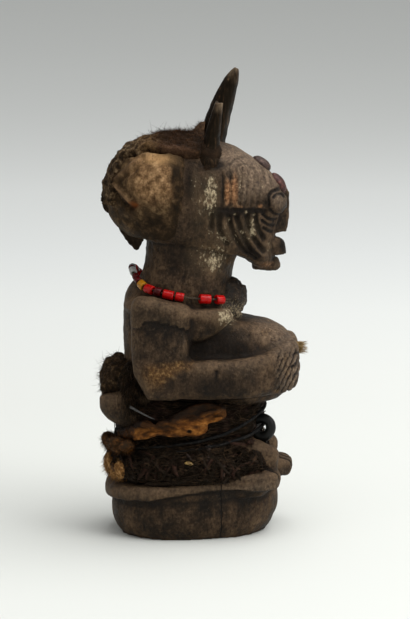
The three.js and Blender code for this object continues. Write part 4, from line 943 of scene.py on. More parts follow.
# Nape flap
# A torn, dark tag of the same hide that hangs under the back of the head and ends in a frayed point.
def flap(name, outline_top, outline_low, middle_y, thick, seed):
    """A thin closed sheet between an upper and a lower line of [x, z], in millimetres, with a ragged lower edge
    and a shallow curl across it."""
    top, low = eased(outline_top, 6), eased(outline_low, 6)
    share = np.linspace(0, 1, 22)[None]
    x, z = (top[:, k, None] * (1 - share) + low[:, k, None] * share for k in (0, 1))
    ruffle = rough(np.stack([x, np.zeros_like(x), z], -1).reshape(-1, 3) / 1000, 4, seed, 3).reshape(x.shape)
    y = middle_y + 1.6 * np.sin((x + 42) / 5) + 1.3 * ruffle
    half = thick / 2 * (1 - 0.75 * share)
    z = z + ruffle * 1.6 * share**2
    quads = net(*x.shape)[:, [0, 3, 2, 1]]
    return piece(name, "dark_hide", np.stack([np.stack([x, y + out, z], -1) for out in (-half, half)]) / 1000,
                 np.concatenate([
                     quads, quads[:, ::-1] + x.size, walled([rim_of(*x.shape)], x.size)[:, [0, 3, 2, 1]]]))


nape = flap("torn_nape_flap", [[-47, 194.5], [-41, 191], [-36, 189], [-30, 188.5]],
            [[-46, 190.5], [-40.4, 181.8], [-35.4, 177.0], [-31, 183]], -8, 2.2, 121)
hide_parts("nape_flap")
flake = flap("torn_back_flake", [[-57.2, 209.4], [-55.2, 209.8], [-52.6, 208.2], [-49.5, 206]],
             [[-56.8, 206.4], [-55.4, 202.2], [-52.4, 199.8], [-49, 201]], -4, 2.0, 123)
dark_hide = Finish("dark dried hide", 0.3, BROWN_SHEEN, Roughness=0.75)
fine = dark_hide.noise(1.6, 6, 0.7, stretch=(1, 1, 3))
dark_hide.lay([nape, flake], fine.ramp((0.32, 10, 7, 6), (0.52, 26, 19, 15), (0.7, 58, 45, 34)), None, (fine, 0.7))


# Tacks
# Two large domed upholstery tacks of tarnished metal, driven into the middle of the forehead.
def tack(name, foot, lean, diameter, node, slot, colors, seed):
    """A dome turned about an axis that leans back from straight ahead: radius times the sine and height times
    the cosine of an angle, with a thin rolled rim under it, dented here and there."""
    angle, radius = np.linspace(0.02, np.pi / 2, 20), diameter / 2
    out = np.concatenate([np.sin(angle) * radius, [radius + 0.15, radius, radius - 0.6]])[:, None]
    high = np.concatenate([3.6 * np.cos(angle) + 0.1, [-0.25, -0.8, -1.2]])[:, None]
    turn = angles(56)[None]
    x, y, z = high * np.ones_like(turn), out * np.cos(turn), out * np.sin(turn)
    x = x + 0.28 * (high > 0) * rough(np.stack([x, y, z], -1).reshape(-1, 3) / 1000, 5, seed, 2).reshape(x.shape)
    c, s = math.cos(lean), math.sin(lean)
    grid = np.stack([foot[0] + c * x - s * z, foot[1] + y, foot[2] + s * x + c * z], -1) / 1000
    made = piece(name, slot, *closed_skins(grid[::-1]))
    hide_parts(node)
    metal = Finish(name + " metal", 0.4, Metallic=0.35)
    wear = metal.noise(2.4, 6, 0.65)
    metal.lay([made], wear.ramp(*colors), wear.ramp((0.3, 0.62), (0.7, 0.42)), (wear, 0.35))


tack("brown_tack", (41.5, 0, 229.8), 0.942, 13.0, "upper_tack", "upper_tack_metal",
     ((0.32, 28, 18, 15), (0.5, 58, 40, 33), (0.7, 94, 72, 60)), 131)
tack("red_brown_tack", (51.95, 0, 217.8), 0.602, 14.5, "lower_tack", "lower_tack_metal",
     ((0.32, 32, 16, 13), (0.5, 66, 34, 28), (0.7, 98, 60, 50)), 133)


# Necklace string
# A dark two-ply thread tied loosely around the neck. It sags on the breast and is hitched up over the nape.
neck_line = np.array([
    [26.57, 0, 147.09], [22.2, -14.72, 147.72], [9.9, -24.25, 149.42], [-9.08, -27.64, 151.48],
    [-22.42, -25.28, 154.22], [-30.03, -20.49, 156.39], [-34.2, -15.52, 159.62], [-36.95, -9.5, 163.13],
    [-38.15, -3.01, 165.32], [-38, 4.6, 164.75], [-35.95, 12.2, 161.28], [-31.36, 19.18, 156.96],
    [-22.42, 25.28, 154.01], [-9.08, 27.64, 151.37], [9.9, 24.25, 148.7], [22.2, 14.72, 147.12]])


def round_line(knots, count):
    """A smooth closed line through knots, as `count` places at even steps of its length. Each span is a cubic
    whose end slopes come from spans that are as long as the square root of the distance between their knots."""
    after, before = np.roll(knots, -1, 0), np.roll(knots, 1, 0)
    gap = np.linalg.norm(after - knots, axis=1)[:, None] ** 0.5
    rise, gap_before = (after - knots) / gap, np.roll(gap, 1, 0)
    slope = np.roll(rise, 1, 0) - (after - before) / (gap_before + gap) + rise
    fine = cubic(knots, after, slope * gap, np.roll(slope, -1, 0) * gap, 60)
    closed = np.concatenate([fine, fine[:1]])
    run = np.concatenate([[0], np.cumsum(np.linalg.norm(np.diff(closed, axis=0), axis=1))])
    even = np.linspace(0, run[-1], count, endpoint=False)
    return np.stack([np.interp(even, run, closed[:, k]) for k in range(3)], 1), run[-1]


def round_cord(name, slot, line, radius, plies, twist, sides=12):
    """A closed cord carried along a closed line. Its section bulges once for each ply, as radius times
    (0.8 + 0.2 |cos(plies/2 (angle - twist * way along))|), so the plies wind around one another."""
    across, other = square_to(np.roll(line, -1, 0) - np.roll(line, 1, 0))
    along, turn = np.arange(len(line))[:, None], angles(sides)[None]
    reach = radius * (0.8 + 0.2 * np.abs(np.cos(plies / 2 * (turn - 2 * np.pi * twist * along / len(line)))))
    turn = turn[..., None]
    grid = line[:, None] + reach[..., None] * (across[:, None] * np.cos(turn) + other[:, None] * np.sin(turn))
    return piece(name, slot, grid / 1000, net(len(line), sides, True, True))


string_places = 640
string_line, string_length = round_line(neck_line, string_places)
string = round_cord("neck_string", "dark_string", string_line, 0.65, 2, 70, 10)
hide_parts("necklace_string")
thread = Finish("dark string", 0.3, Roughness=0.8)
fine = thread.noise(1.0, 3)
thread.lay([string], fine.ramp((0.35, 26, 20, 15), (0.65, 84, 70, 52)), None, (fine, 0.15))


# Beads
# Nineteen glass trade beads, short cuts of drawn tube whose ends were softened by heat. They are threaded on
# the string in small groups: most are red, a few dark red, yellow, grey and blue-green.
bead_finishes = {}
for key, low, high in (("red", (118, 2, 2), (206, 11, 7)), ("dark_red", (42, 3, 5), (86, 8, 10)),
                       ("yellow", (140, 88, 10), (186, 128, 26)), ("grey", (132, 132, 130), (198, 198, 194)),
                       ("blue_green", (10, 52, 58), (26, 92, 96))):
    glass = Finish(key.replace("_", " ") + " glass", 0.24)
    dirt = glass.noise(1.6, 5, 0.7, 3.0)
    color = add(glass.tree, "Mix", {0: glass.noise(3, 4, 0.5), 6: tone(*low), 7: tone(*high)}, 2,
                data_type="RGBA", blend_type="MIX")
    glass.lay([], color.mixed(dirt.between(0.56, 0.72) * 0.7, (58, 38, 28)), dirt.ramp((0.4, 0.14), (0.7, 0.5)),
              (dirt, 0.08))
    bead_finishes[key] = glass.made

way, small_radius, radius, bore, soft = 0.0, 2.2, 2.8, 1.1, 0.62
curve, turn = np.linspace(0, np.pi / 2, 5), angles(28)[None]
for number, (bare, length, color_name, small) in enumerate((
    # The bare string before each bead, its length and colour, and whether it is one of the small ones.
    (21.7, 5.9, "red", 0), (3.7, 7, "red", 0), (9.7, 5.2, "red", 0), (1, 6.7, "red", 0),
    (1.1, 4.4, "dark_red", 0), (1, 5.8, "red", 0), (1.3, 4.4, "yellow", 0), (0.9, 3.2, "dark_red", 1),
    (0.6, 3.2, "dark_red", 1), (2, 5.2, "grey", 1), (0.6, 3.6, "dark_red", 1), (0.6, 3.6, "blue_green", 1),
    (4, 5.5, "red", 0), (1.8, 6, "red", 0), (4.7, 4.4, "yellow", 0), (0.8, 6.2, "red", 0), (3, 5, "grey", 1),
    (6, 6.4, "red", 0), (0.6, 6, "red", 0),
), 1):
    middle = (way + bare + length / 2) / string_length * string_places
    way += bare + length
    at, share = int(middle), middle % 1
    centre = string_line[at] * (1 - share) + string_line[(at + 1) % string_places] * share
    ahead = unit(string_line[(at + 5) % string_places] - string_line[(at - 4) % string_places])
    across, other = square_to(ahead)
    outer, half = (small_radius if small else radius), length / 2
    reach = np.concatenate([outer - soft + soft * np.sin(curve), outer - soft + soft * np.cos(curve),
                            [bore + 0.35, bore, bore, bore + 0.35]])[:, None]
    along = np.concatenate([-half + soft - soft * np.cos(curve), half - soft + soft * np.sin(curve),
                            [half - 0.02, half - 0.4, -half + 0.4, -half + 0.02]])[:, None]
    rng = np.random.default_rng(200 + number)
    lean = rng.uniform(-0.09, 0.09, 2)
    reach = reach * (1 + 0.03 * np.sin(2 * turn + rng.uniform(0, 6)) + rng.uniform(-0.03, 0.03))
    aside, over = reach * np.cos(turn), reach * np.sin(turn)
    along = along + lean[0] * aside + lean[1] * over
    grid = centre + along[..., None] * ahead + aside[..., None] * across + over[..., None] * other
    bead = piece(f"glass_bead_{number:02d}", color_name + "_glass", grid / 1000, net(len(reach), 28, True, True))
    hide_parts(f"necklace_bead_{number:02d}")
    bead.data.materials.append(bead_finishes[color_name])


# Chest resin
# A dark crust of resin and dirt that was pressed under the chin while soft. It is lumpy and cracked, dull, with
# a few glints.
def melted(name, slot, grids, voxel, rounds, swell):
    """A piece of closed skins melted into one. Its skin is moved out by the millimetres that `swell` gives for
    its points. Gives the piece, the points before that, their normals and the distances."""
    points, normals, quads = fused(grids, voxel, rounds)
    out = swell(points)
    return piece(name, slot, points + normals * (out / 1000)[:, None], quads), points, normals, out


resin, points, _, _ = melted("resin_crust", "dark_resin", [
    lump((20.4, -2, 147), (12, 13.1, 13)), lump((16.4, -9.9, 142), (9, 8, 10.1)), lump((20.4, 6.4, 141), (9, 8, 9.1)),
    lump((27.5, -5, 151), (5.5, 6, 5)), lump((28, 5, 144), (4.5, 5, 5)), lump((24, -9.5, 137), (5, 4, 4.5)),
], 0.8, 6, lambda points: 1.2 * rough(points, 6, 141, 4) + 0.7 * np.abs(rough(points, 3, 145, 2)))
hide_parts("chest_resin")
layer(resin, clay=bell((points[:, 2] * 1000 - 139, 8)) + 0.15)
crust = Finish("dark resin crust", 0.3, WARM_SHEEN)
lumps, fine = crust.noise(3.5, 7, 0.68), crust.noise(0.8, 4, 0.7, 6.0)
crust.lay([resin], lumps.ramp((0.36, 8, 6, 4), (0.5, 28, 20, 14), (0.62, 58, 46, 34), (0.74, 104, 88, 68)).mixed(
    (crust.level("clay") * 0.17 + fine).between(0.65, 0.78) * 0.85, (158, 140, 110)),
    lumps.ramp((0.35, 0.42), (0.6, 0.8)), (lumps, 1.2), (fine, 0.4))


# Navel plug
# A twist of yellow-brown plant fibre pushed into a hole in the navel. Its outer end is frayed.
def strands(name, slot, lines, thick, seed):
    """Closed threads that thin evenly to their far ends, with their sides turned at random."""
    count, places = lines.shape[:2]
    ahead = np.gradient(lines, axis=1)
    side = unit(np.cross(ahead, np.random.default_rng(seed).normal(size=(count, 1, 3))), 1e-9)
    other = unit(np.cross(ahead, side), 1e-9)
    reach = np.broadcast_to(thick, count)[:, None] * (1 - 0.75 * np.linspace(0, 1, places)[:-1])
    return threads(name, slot, lines, side[:, :-1], other[:, :-1], reach)


rng, count = np.random.default_rng(17), 420
angle, place = rng.uniform(0, 2 * np.pi, count), np.sqrt(rng.uniform(0, 1, count))
share = np.linspace(0, 1, 8)[None]
reach = place[:, None] * (2.4 + (0.6 + 1.9 * rng.random(count))[:, None] * share**1.5)
turned = angle[:, None] + 1.6 * share
ends = 54.0 + rng.uniform(10.5, 17.5, count)[:, None] * share
fibres = np.stack([ends, reach * np.cos(turned) * 0.9, 115 + reach * np.sin(turned)], -1)
fibres[..., 1:] += rng.normal(size=(count, 1, 2)) * 0.5 * share[..., None] ** 2
plug = strands("navel_fibres", "plant_fibre", fibres, rng.uniform(0.16, 0.3, count), 18)
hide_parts("navel_plug")
wad = piece("navel_wad", "plant_fibre", *closed_skins(
    tube([[57.0, 0, 115], [60, 0, 115], [64, 0, 115], [67.5, 0, 115]], np.array([2.3, 2.4, 2.3, 1.6]), 24)))
raffia = Finish("plant fibre", 0.2, Roughness=0.85)
fine = raffia.noise(1.4, 4, 0.7, stretch=(3, 1, 1))
raffia.lay([plug, wad], fine.ramp((0.3, 70, 48, 26), (0.5, 136, 108, 66), (0.7, 196, 172, 126)), None, (fine, 0.3))


# Waist girdle
# Old hide and plant fibre packed tight around the waist under the forearms, dark with smoke, purple-brown where
# the hide shows, with loose fibres lying around it.
ring_centre, ring_room = np.array([42.07, -11.88, 66.81]), 11
hip_half, hip_square = 32.2, 2.4


def hip_place(turn, out, height):
    """Places around the hips at an angle from straight ahead towards the left, a distance outside the wood and
    a height, in millimetres: the squared ellipse of the hips, grown by that distance."""
    back, front, half = -47 - out, 42.37 + out, hip_half + out
    middle = back + 0.47 * (front - back)
    along = bent(np.cos(turn), 2 / hip_square)
    x = middle + along * np.where(along > 0, front - middle, middle - back)
    return np.stack([x, half * bent(np.sin(turn), 2 / hip_square), height + 0 * x], -1)


def out_from_hips(points):
    """Level directions away from the middle line of the hips, for points in metres."""
    away = (points - [-0.002, 0, 0]) * [1, 1.5, 0]
    away[..., 0] -= np.clip(away[..., 0], -0.012, 0.012)
    return unit(away, 1e-9)


def band(name, slot, rows, sides, steps, swell):
    """A closed band around the hips from rows of [height, distance outside the wood], whose skin is moved out by
    the millimetres that `swell` gives for its points. Gives the piece and the points before that."""
    fine = eased(rows, steps)
    points, quads, fans = closed_skins(hip_place(angles(sides)[None], fine[:, 1:2], fine[:, :1]) / 1000)
    return piece(name, slot, points + out_from_hips(points) * (swell(points) / 1000)[:, None], quads, fans), points


girdle, points = band(
    "packed_girdle", "packed_hide",
    [[58.5, -4], [61.4, -1.2], [66.6, 0.6], [73, 1.4], [80.9, 0.4], [87.4, -4.5], [90.5, -9]], 420, 9,
    lambda points: 1.6 * rough(points, 9, 151, 4, (2.2, 2.2, 0.8))
    + 1.6 * (np.abs(rough(points, 7, 155, 2, (3, 3, 0.6))) - 0.3)
    - 2.2 * bell((np.linalg.norm(points * 1000 - ring_centre, axis=1), 10), power=4))
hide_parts("waist_girdle")
layer(girdle, purple=0.5 + 0.9 * rough(points, 16, 157, 2))
packing = Finish("packed dark hide", 0.1, BROWN_SHEEN)
lumps, fine = packing.noise(3.2, 7, 0.68, stretch=(1.6, 1.6, 1)), packing.noise(0.9, 4, 0.7, 5.0, (2.5, 2.5, 1))
color = lumps.ramp((0.34, 4, 3, 2), (0.52, 18, 12, 7), (0.7, 58, 41, 27)).mixed(
    packing.level("purple").between(0.35, 0.65), lumps.ramp((0.34, 7, 4, 4), (0.52, 27, 16, 14), (0.7, 72, 51, 46)))
packing.lay([girdle], color.mixed(lumps.between(0.43, 0.32) * 0.9, (4, 3, 3)), lumps.ramp((0.35, 0.8), (0.65, 0.5)),
            (lumps, 1.6), (fine, 0.6))


def clear_of_ring(lines):
    """Which lines stay out of the way of the ring that hangs in front."""
    return np.min(np.linalg.norm(lines - ring_centre, axis=2), axis=1) > ring_room


def wound(count, low, high, out, length, wander, seed):
    """Lines that lie around the hips between two heights: each starts at a random angle, runs around for its
    length, and drifts up, down and outwards by smooth random amounts."""
    rng = np.random.default_rng(seed)
    share = np.linspace(0, 1, 9)[None]
    start = rng.uniform(-np.pi, np.pi, count)[:, None]
    run = rng.uniform(*length, count)[:, None] / 40 * np.sign(rng.normal(size=count))[:, None]
    height = rng.uniform(low, high, count)[:, None] + wander * (
        rng.normal(size=(count, 1)) * share + 0.6 * rng.normal(size=(count, 1)) * np.sin(np.pi * share * 1.6))
    stand = rng.uniform(*out, count)[:, None] + 0.5 * np.sin(
        rng.uniform(0, 6, count)[:, None] + share * rng.uniform(2, 9, count)[:, None])
    lines = hip_place(start + run * share, stand, height)
    return lines[clear_of_ring(lines)]


rng = np.random.default_rng(21)
lines = wound(900, 62, 87, (0.6, 2.4), (10, 32), 3.0, 23)
loose = strands("girdle_fibres", "packed_hide", lines, rng.uniform(0.14, 0.32, len(lines)), 24)
dark_fibre = fur("dark fibre", (5, 4, 3), (22, 16, 12), (74, 57, 42), 5.0, 0.55)
dark_fibre.lay([loose], dark_fibre.color)


# Waist strip
# A strip of orange-brown, half tanned hide laid over the girdle on the right side, twisted and crumpled, with a
# knot and a turned-up end in front of it.
def ribbon(*stations):
    """A thick ribbon of [x, y, z, half thickness, half depth, angle of twist], pinched along its middle."""
    fine = eased(stations, 26)
    across, other = square_to(np.gradient(fine[:, :3], axis=0))
    lean, turn = fine[:, 5, None], angles(64, 0.5)[None, :, None]
    one = (across * np.cos(lean) + other * np.sin(lean))[:, None]
    two = (other * np.cos(lean) - across * np.sin(lean))[:, None]
    pinch = 1 - 0.25 * np.cos(2 * turn) ** 2
    return (fine[:, None, :3] + one * fine[:, None, 3:4] * bent(np.cos(turn), 0.8) * pinch
            + two * fine[:, None, 4:5] * bent(np.sin(turn), 0.85)) / 1000


def hole_share(x, z):
    """The small hole in the knot, at a length and a height in millimetres."""
    return bell((x + 2.8, 1.1), (z - 70.1, 0.9))


strip, points, _, crumple = melted("orange_strip", "orange_hide", [
    # The main run, the folds over and under it, the turned-up end, the folds of its fan and the knot.
    ribbon([-4, -36.6, 70.2, 2.2, 3.4, 0.2], [-12, -36.6, 70.0, 1.8, 3.0, 0.3], [-18, -36.2, 69.6, 1.6, 2.6, -0.2],
           [-24, -35.4, 69.7, 1.8, 3.4, -0.25], [-29, -34.2, 70.4, 2.0, 5.4, 0.1],
           [-34, -31.6, 69.6, 1.9, 5.4, 0.25], [-39, -27.4, 66.6, 1.6, 4.0, 0.1], [-44, -22.2, 65.0, 1.3, 3.2, 0],
           [-47.4, -16.2, 64.0, 1.0, 2.4, 0]),
    ribbon([-36.5, -31.2, 72.0, 1.0, 1.5, 0.5], [-31, -35.2, 74.2, 1.6, 2.0, 0.3],
           [-25, -37.4, 72.6, 1.2, 1.5, 0.1], [-17, -38.2, 71.6, 1.0, 1.3, -0.2], [-9, -38.4, 72.6, 1.1, 1.5, 0]),
    ribbon([-37, -31.2, 64.2, 1.0, 1.6, -0.4], [-30, -35.4, 66.4, 1.4, 1.7, -0.3],
           [-22, -37.4, 67.8, 1.1, 1.2, -0.2], [-14, -38.0, 67.6, 1.1, 1.2, 0], [-6, -38.2, 67.4, 1.2, 1.4, 0]),
    ribbon([-16, -36.4, 75.6, 1.2, 1.8, 0.1], [-8, -37.0, 78.4, 1.7, 3.8, 0.2], [0, -36.6, 80.2, 1.9, 5.6, 0.05],
           [8, -35.6, 80.8, 1.7, 6.2, -0.1], [14, -34.2, 80.4, 1.4, 5.6, 0.1], [19.6, -32.2, 80.6, 0.9, 4.2, 0]),
    *(ribbon([x - 3, -38.0, z - 1.5, 0.9, 1.1, 0.3], [x + 3, -38.2 + 0.02 * x, z + 0.8, 1.2, 1.3, 0.2],
             [x + 9, -37.2 + 0.04 * x, z + 2.4, 1.1, 1.2, 0], [x + 14, -35.4 + 0.06 * x, z + 3.2, 0.7, 0.9, 0])
      for x, z in ((-8, 79.5), (-2, 76.2), (3, 80.0), (4, 74.6))),
    lump((-1.0, -37.2, 71.4), (9.2, 3.6, 5.0), 0.04, 40, 24), lump((4.2, -38.6, 73.2), (4.6, 2.2, 3.0), 0.25, 32, 20),
    lump((-5.6, -38.2, 70.4), (3.8, 2.2, 3.2), -0.1, 32, 20),
    lump((-15.5, -36.9, 73.6), (7.5, 2.4, 3.6), 0.1, 36, 22), lump((-10, -37.4, 75.8), (5.5, 2.2, 3.0), 0.35, 32, 20),
], 0.6, 2, lambda points: 0.75 * rough(points, 6.5, 161, 4, (1.9, 1, 0.9)) + 0.5 * (
    np.abs(rough(points, 5, 165, 2, (2.4, 1, 0.8))) - 0.25) - 1.8 * hole_share(*points.T[::2] * 1000))
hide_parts("waist_strip")
x, _, z = (points * 1000).T
# Painted light on the strip: the light level is a painted highlight on the knot, the upper fold, the fan and the
# raised crumples; the dark level is painted shade in the knot's hole, in the crumples' hollows, over the turned-up
# end's top under the forearm and under the main run, and darker towards both ends.
layer(strip, light=bell((np.hypot((x - 0.5) / 9, (z - 72) / 4.5), 1), power=4)
      + 0.8 * bell((x + 31, 5), (z - 73, 3.5)) + 0.7 * bell((x - 10, 8), (z - 75.5, 2.2))
      + 0.9 * np.clip(crumple, 0, 0.7),
      dark=0.9 * hole_share(x, z) + 0.7 * step(-x, 38, 50) + 1.1 * np.clip(-crumple - 0.05, 0, 1)
      + 0.75 * step(z + 0.25 * (6 - x), 77.5, 82) + 0.5 * step(x, 15, 20) + 0.6 * bell((x + 11, 4), (z - 66.5, 3)))
orange = Finish("orange brown hide", 0.15, BROWN_SHEEN)
mottle, fine = orange.noise(4.5, 6, 0.65, stretch=(1.8, 1, 1)), orange.noise(0.9, 4, 0.7, 3.0, (2.5, 1, 1))
color = mottle.ramp((0.36, 20, 9, 3), (0.46, 50, 27, 9), (0.56, 88, 51, 20), (0.68, 130, 82, 38))
# Painted highlights on the knot, fold, fan and raised crumples.
color = color.mixed(orange.level("light") * 0.75,
                    mottle.ramp((0.36, 82, 44, 13), (0.5, 132, 80, 31), (0.64, 172, 116, 55)))
color = color.mixed(fine.between(0.46, 0.34) * 0.7, (30, 15, 7))
# Painted shade in the hole, the crumples' hollows and under the forearm, and darker towards both ends.
color = color.mixed((orange.level("dark") * (mottle + 0.5)).between(0.2, 0.9), (18, 10, 8))
orange.lay([strip], color, mottle.ramp((0.35, 0.45), (0.65, 0.7)), (mottle, 1.1), (fine, 0.4))


# Girdle cords
# Two turns of black twisted cord around the hips, low behind and high in front, that hold the skirt on.
cords = []
for name, low, high, node in (("low_black_cord", 54.5, 68.7, "lower_girdle_cord"),
                              ("high_black_cord", 57.5, 79.5, "upper_girdle_cord")):
    # They lie 1.5 mm outside the wood and rise by (0.5 + 0.5 cos of the angle) to the power 2.5, with a small wave.
    turn = angles(16)
    line, _ = round_line(hip_place(turn, 1.5, low + (0.5 + 0.5 * np.cos(turn)) ** 2.5 * (high - low)), 720)
    line[:, 2] += 0.7 * rough(line / 1000, 12, int(low), 3)
    cords.append(round_cord(name, "black_cord", line + out_from_hips(line / 1000) * 0.35, 1.15, 3, 62))
    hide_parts(node)
black_cord = Finish("black cord", 0.12, Roughness=0.6)
fine = black_cord.noise(1.3, 4, 0.65)
black_cord.lay(cords, fine.ramp((0.35, 3, 3, 3), (0.55, 13, 12, 11), (0.78, 66, 60, 55)), None, (fine, 0.25))


# Girdle ring
# A thick ring of black horn that hangs on the cords in front. It is smooth from wear, with a few scratches.
turn, section = angles(96)[:, None, None], angles(32)[None, :, None]
reach = 5.8 + 3.15 * np.cos(section) + 0.12 * np.sin(3 * turn)
grid = ring_centre + reach * (np.array([0.95, -0.313, 0]) * np.cos(turn) + np.array([0, 0, 1]) * np.sin(turn)) \
    + 3.05 * np.sin(section) * np.array([0.313, 0.95, 0])
ring = piece("black_ring", "black_ring", grid / 1000, net(96, 32, True, True))
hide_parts("girdle_ring")
worn_horn = Finish("worn black horn", 0.22)
cloud = worn_horn.noise(5, 5)
worn_horn.lay([ring], cloud.ramp((0.32, 5, 6, 5), (0.55, 14, 14, 12), (0.74, 36, 34, 29)),
              cloud.ramp((0.35, 0.34), (0.65, 0.55)), (cloud, 0.3))


# Back bundle
# A wad of hairy hide tied behind the waist. Its skin is brown and crumpled and dark hair stands out of it.
bundle, bundle_points, bundle_normals, _ = melted("hairy_bundle", "crown_hide", [
    lump((-47.2, -1, 97), (11.4, 18, 12)), lump((-45, -9, 100), (9.8, 11, 9.6)), lump((-50.5, 8, 94), (7, 8, 7)),
    lump((-52, -10, 92.5), (6, 7, 6)), lump((-50, -3, 105), (6.5, 9, 5)), lump((-47, 12, 102), (7, 6, 7)),
], 0.9, 5, lambda points: 1.3 * rough(points, 8, 171, 4) + 1.5 * (np.abs(rough(points, 6, 175, 3)) - 0.25))
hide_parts("back_bundle")
brown_hide = Finish("crumpled brown hide", 0.2, BROWN_SHEEN, Roughness=0.85)
lumps, fine = brown_hide.noise(3.5, 7, 0.7), brown_hide.noise(0.8, 4, 0.7, 2.0)
color = lumps.ramp((0.36, 8, 5, 3), (0.47, 32, 22, 14), (0.56, 60, 45, 30), (0.68, 112, 92, 66))
brown_hide.lay([bundle], color.mixed(fine.between(0.44, 0.32) * 0.6, (14, 10, 8)), None, (lumps, 1.8), (fine, 0.6))


def fur_on(points, normals, count, seed, length, lean, spread):
    """Curved lines that grow out of a skin: random points of it, each going along its normal, bent towards a
    shared lean and by a random spread, in millimetres, with four places each."""
    rng = np.random.default_rng(seed)
    pick = rng.integers(0, len(points), count)
    root, way = points[pick] * 1000 - normals[pick] * 0.8, normals[pick]
    long = rng.uniform(*length, count)[:, None, None]
    share = np.linspace(0, 1, 4)[None, :, None]
    start = way + rng.normal(size=way.shape) * spread
    bend = lean + rng.normal(size=way.shape) * spread
    return root[:, None] + long * (start[:, None] * share + bend[:, None] * share**2)


bundle_hair = strands("bundle_hair", "crown_hide", np.concatenate([
    fur_on(bundle_points, bundle_normals, 2600, 25, (0.5, 1.7), (-0.2, 0, -0.4), 0.9),
    fur_on(bundle_points, bundle_normals, 70, 29, (2.5, 6.0), (-0.25, 0, 0.35), 0.5)]), 0.13, 26)
dark_hair = fur("bundle hair", (8, 6, 4), (34, 24, 16), (104, 80, 55), 4.0)
dark_hair.lay([bundle_hair], dark_hair.color)


# Fibres between the bundle and the right arm
# Loose dark fibre and hide scraps of the same packing, which bulge out behind the elbow, with one pale quill.
rng, count = np.random.default_rng(27), 900
share = np.linspace(0, 1, 7)[None, :, None]
root = np.stack([rng.uniform(-42, -33, count), rng.uniform(-27, -12, count), rng.uniform(86, 108, count)], 1)
fall = np.stack([rng.normal(-1, 3.0, count), rng.normal(-3, 2.5, count), -rng.uniform(6, 22, count)], 1)
curve = rng.normal(size=(count, 3)) * [2.5, 2.0, 2.0]
lines = root[:, None] + fall[:, None] * share + curve[:, None] * np.sin(share * 3.0)
elbow_fibres = strands("fibres_behind_elbow", "packed_hide", lines, rng.uniform(0.14, 0.32, count), 28)
elbow_pad = melted("packing_behind_elbow", "packed_hide", [
    lump((-39, -14, 97), (7.5, 11, 12)), lump((-38, -16, 88), (7, 12, 8)), lump((-36, -20, 82), (8, 10, 6)),
], 1.0, 4, lambda points: 1.4 * rough(points, 7, 181, 4, (1, 1, 2)))[0]
elbow_fibres.data.materials.append(dark_fibre.made)
elbow_pad.data.materials.append(packing.made)
quill_line = np.stack([np.linspace(-39, -24, 10), -34.4 - 1.2 * np.sin(np.linspace(0, 3.1, 10)),
                       np.linspace(84.5, 76.4, 10)], 1)
quill = piece("pale_quill", "dark_feather", *closed_skins(tube(quill_line, np.linspace(0.75, 0.4, 10), 12)))
shaft = Finish("pale quill", 0.45, Roughness=0.45)
shaft.lay([quill], shaft.noise(2.0).ramp((0.35, 24, 22, 20), (0.65, 60, 58, 56)))


# Fur tufts
# Two scraps of fur tied to the back of the girdle: an orange-brown one under the buttocks and a tan one below it.
for name, node, slot, middles, tones, seed, size in (
    ("brown_tuft", "upper_fur_tuft", "brown_fur",
     [((-52.3, -9, 57.5), (4.2, 11.4, 4.6)), ((-50, -18, 58.5), (4.2, 6, 4.2)), ((-53, -2, 58.5), (3.6, 4.6, 3.8)),
      ((-47.5, -23.5, 58.5), (5.2, 5.4, 4.8)), ((-41.5, -28.8, 59), (5, 4, 4)), ((-54, -13, 60), (3.4, 5, 3.6))],
     ((11, 6, 3), (44, 25, 9), (112, 68, 28)), 191, 2600),
    ("tan_tuft", "lower_fur_tuft", "tan_fur",
     [((-50.6, -11, 43.2), (5.4, 10, 5.6)), ((-51.4, -14, 47), (4.2, 6.5, 3.8)), ((-51, -7, 40.6), (4.4, 5, 3.8)),
      ((-48, -20, 41.5), (4.8, 5.4, 5.4)), ((-45, -26, 43), (4.6, 4.6, 6))],
     ((50, 28, 10), (120, 82, 42), (196, 154, 100)), 195, 2000),
):
    tuft, points, normals, _ = melted(name, slot, [lump(*middle) for middle in middles], 0.8, 5,
                                      lambda points: 1.1 * rough(points, 5, seed, 4))
    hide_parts(node)
    skin = Finish(name.replace("_", " ") + " skin", 0.5, BROWN_SHEEN, Roughness=0.85)
    lumps = skin.noise(2.6, 6, 0.7)
    skin.lay([tuft], lumps.ramp(*((place, *shade) for place, shade in zip((0.32, 0.5, 0.68), tones))), None,
             (lumps, 1.4))
    hair = strands(name + "_hair", slot, fur_on(points, normals, size, seed + 1, (0.6, 1.9), (-0.1, 0, -0.8), 0.6),
                   0.14, seed + 2)
    tuft_hair = fur(name.replace("_", " ") + " hair", *tones, 3.0)
    tuft_hair.lay([hair], tuft_hair.color)


# Feather skirt
# Dark feathers, strips of hide and plant fibre tied in a thick, matted roll around the legs. Most of the
# feathers are broken and lie any way; one small pale feather and a yellow seed are caught in it.
def knees(m):
    """How much further the roll stands out where it passes over each knee, in millimetres: a bell around it."""
    return 3.2 * bell((m[..., 0] - 39, 9), (np.abs(m[..., 1]) - 23, 8)) * step(58 - m[..., 2], 0, 5) * step(
        m[..., 2], 40, 46)


def belly(height):
    """How far the roll of feathers stands out of the hips at a height, in millimetres."""
    return np.interp(height, [36, 40, 44, 48, 52, 56, 62], [5.2, 7.4, 7.4, 6.0, 3.6, 1.6, 0.6])


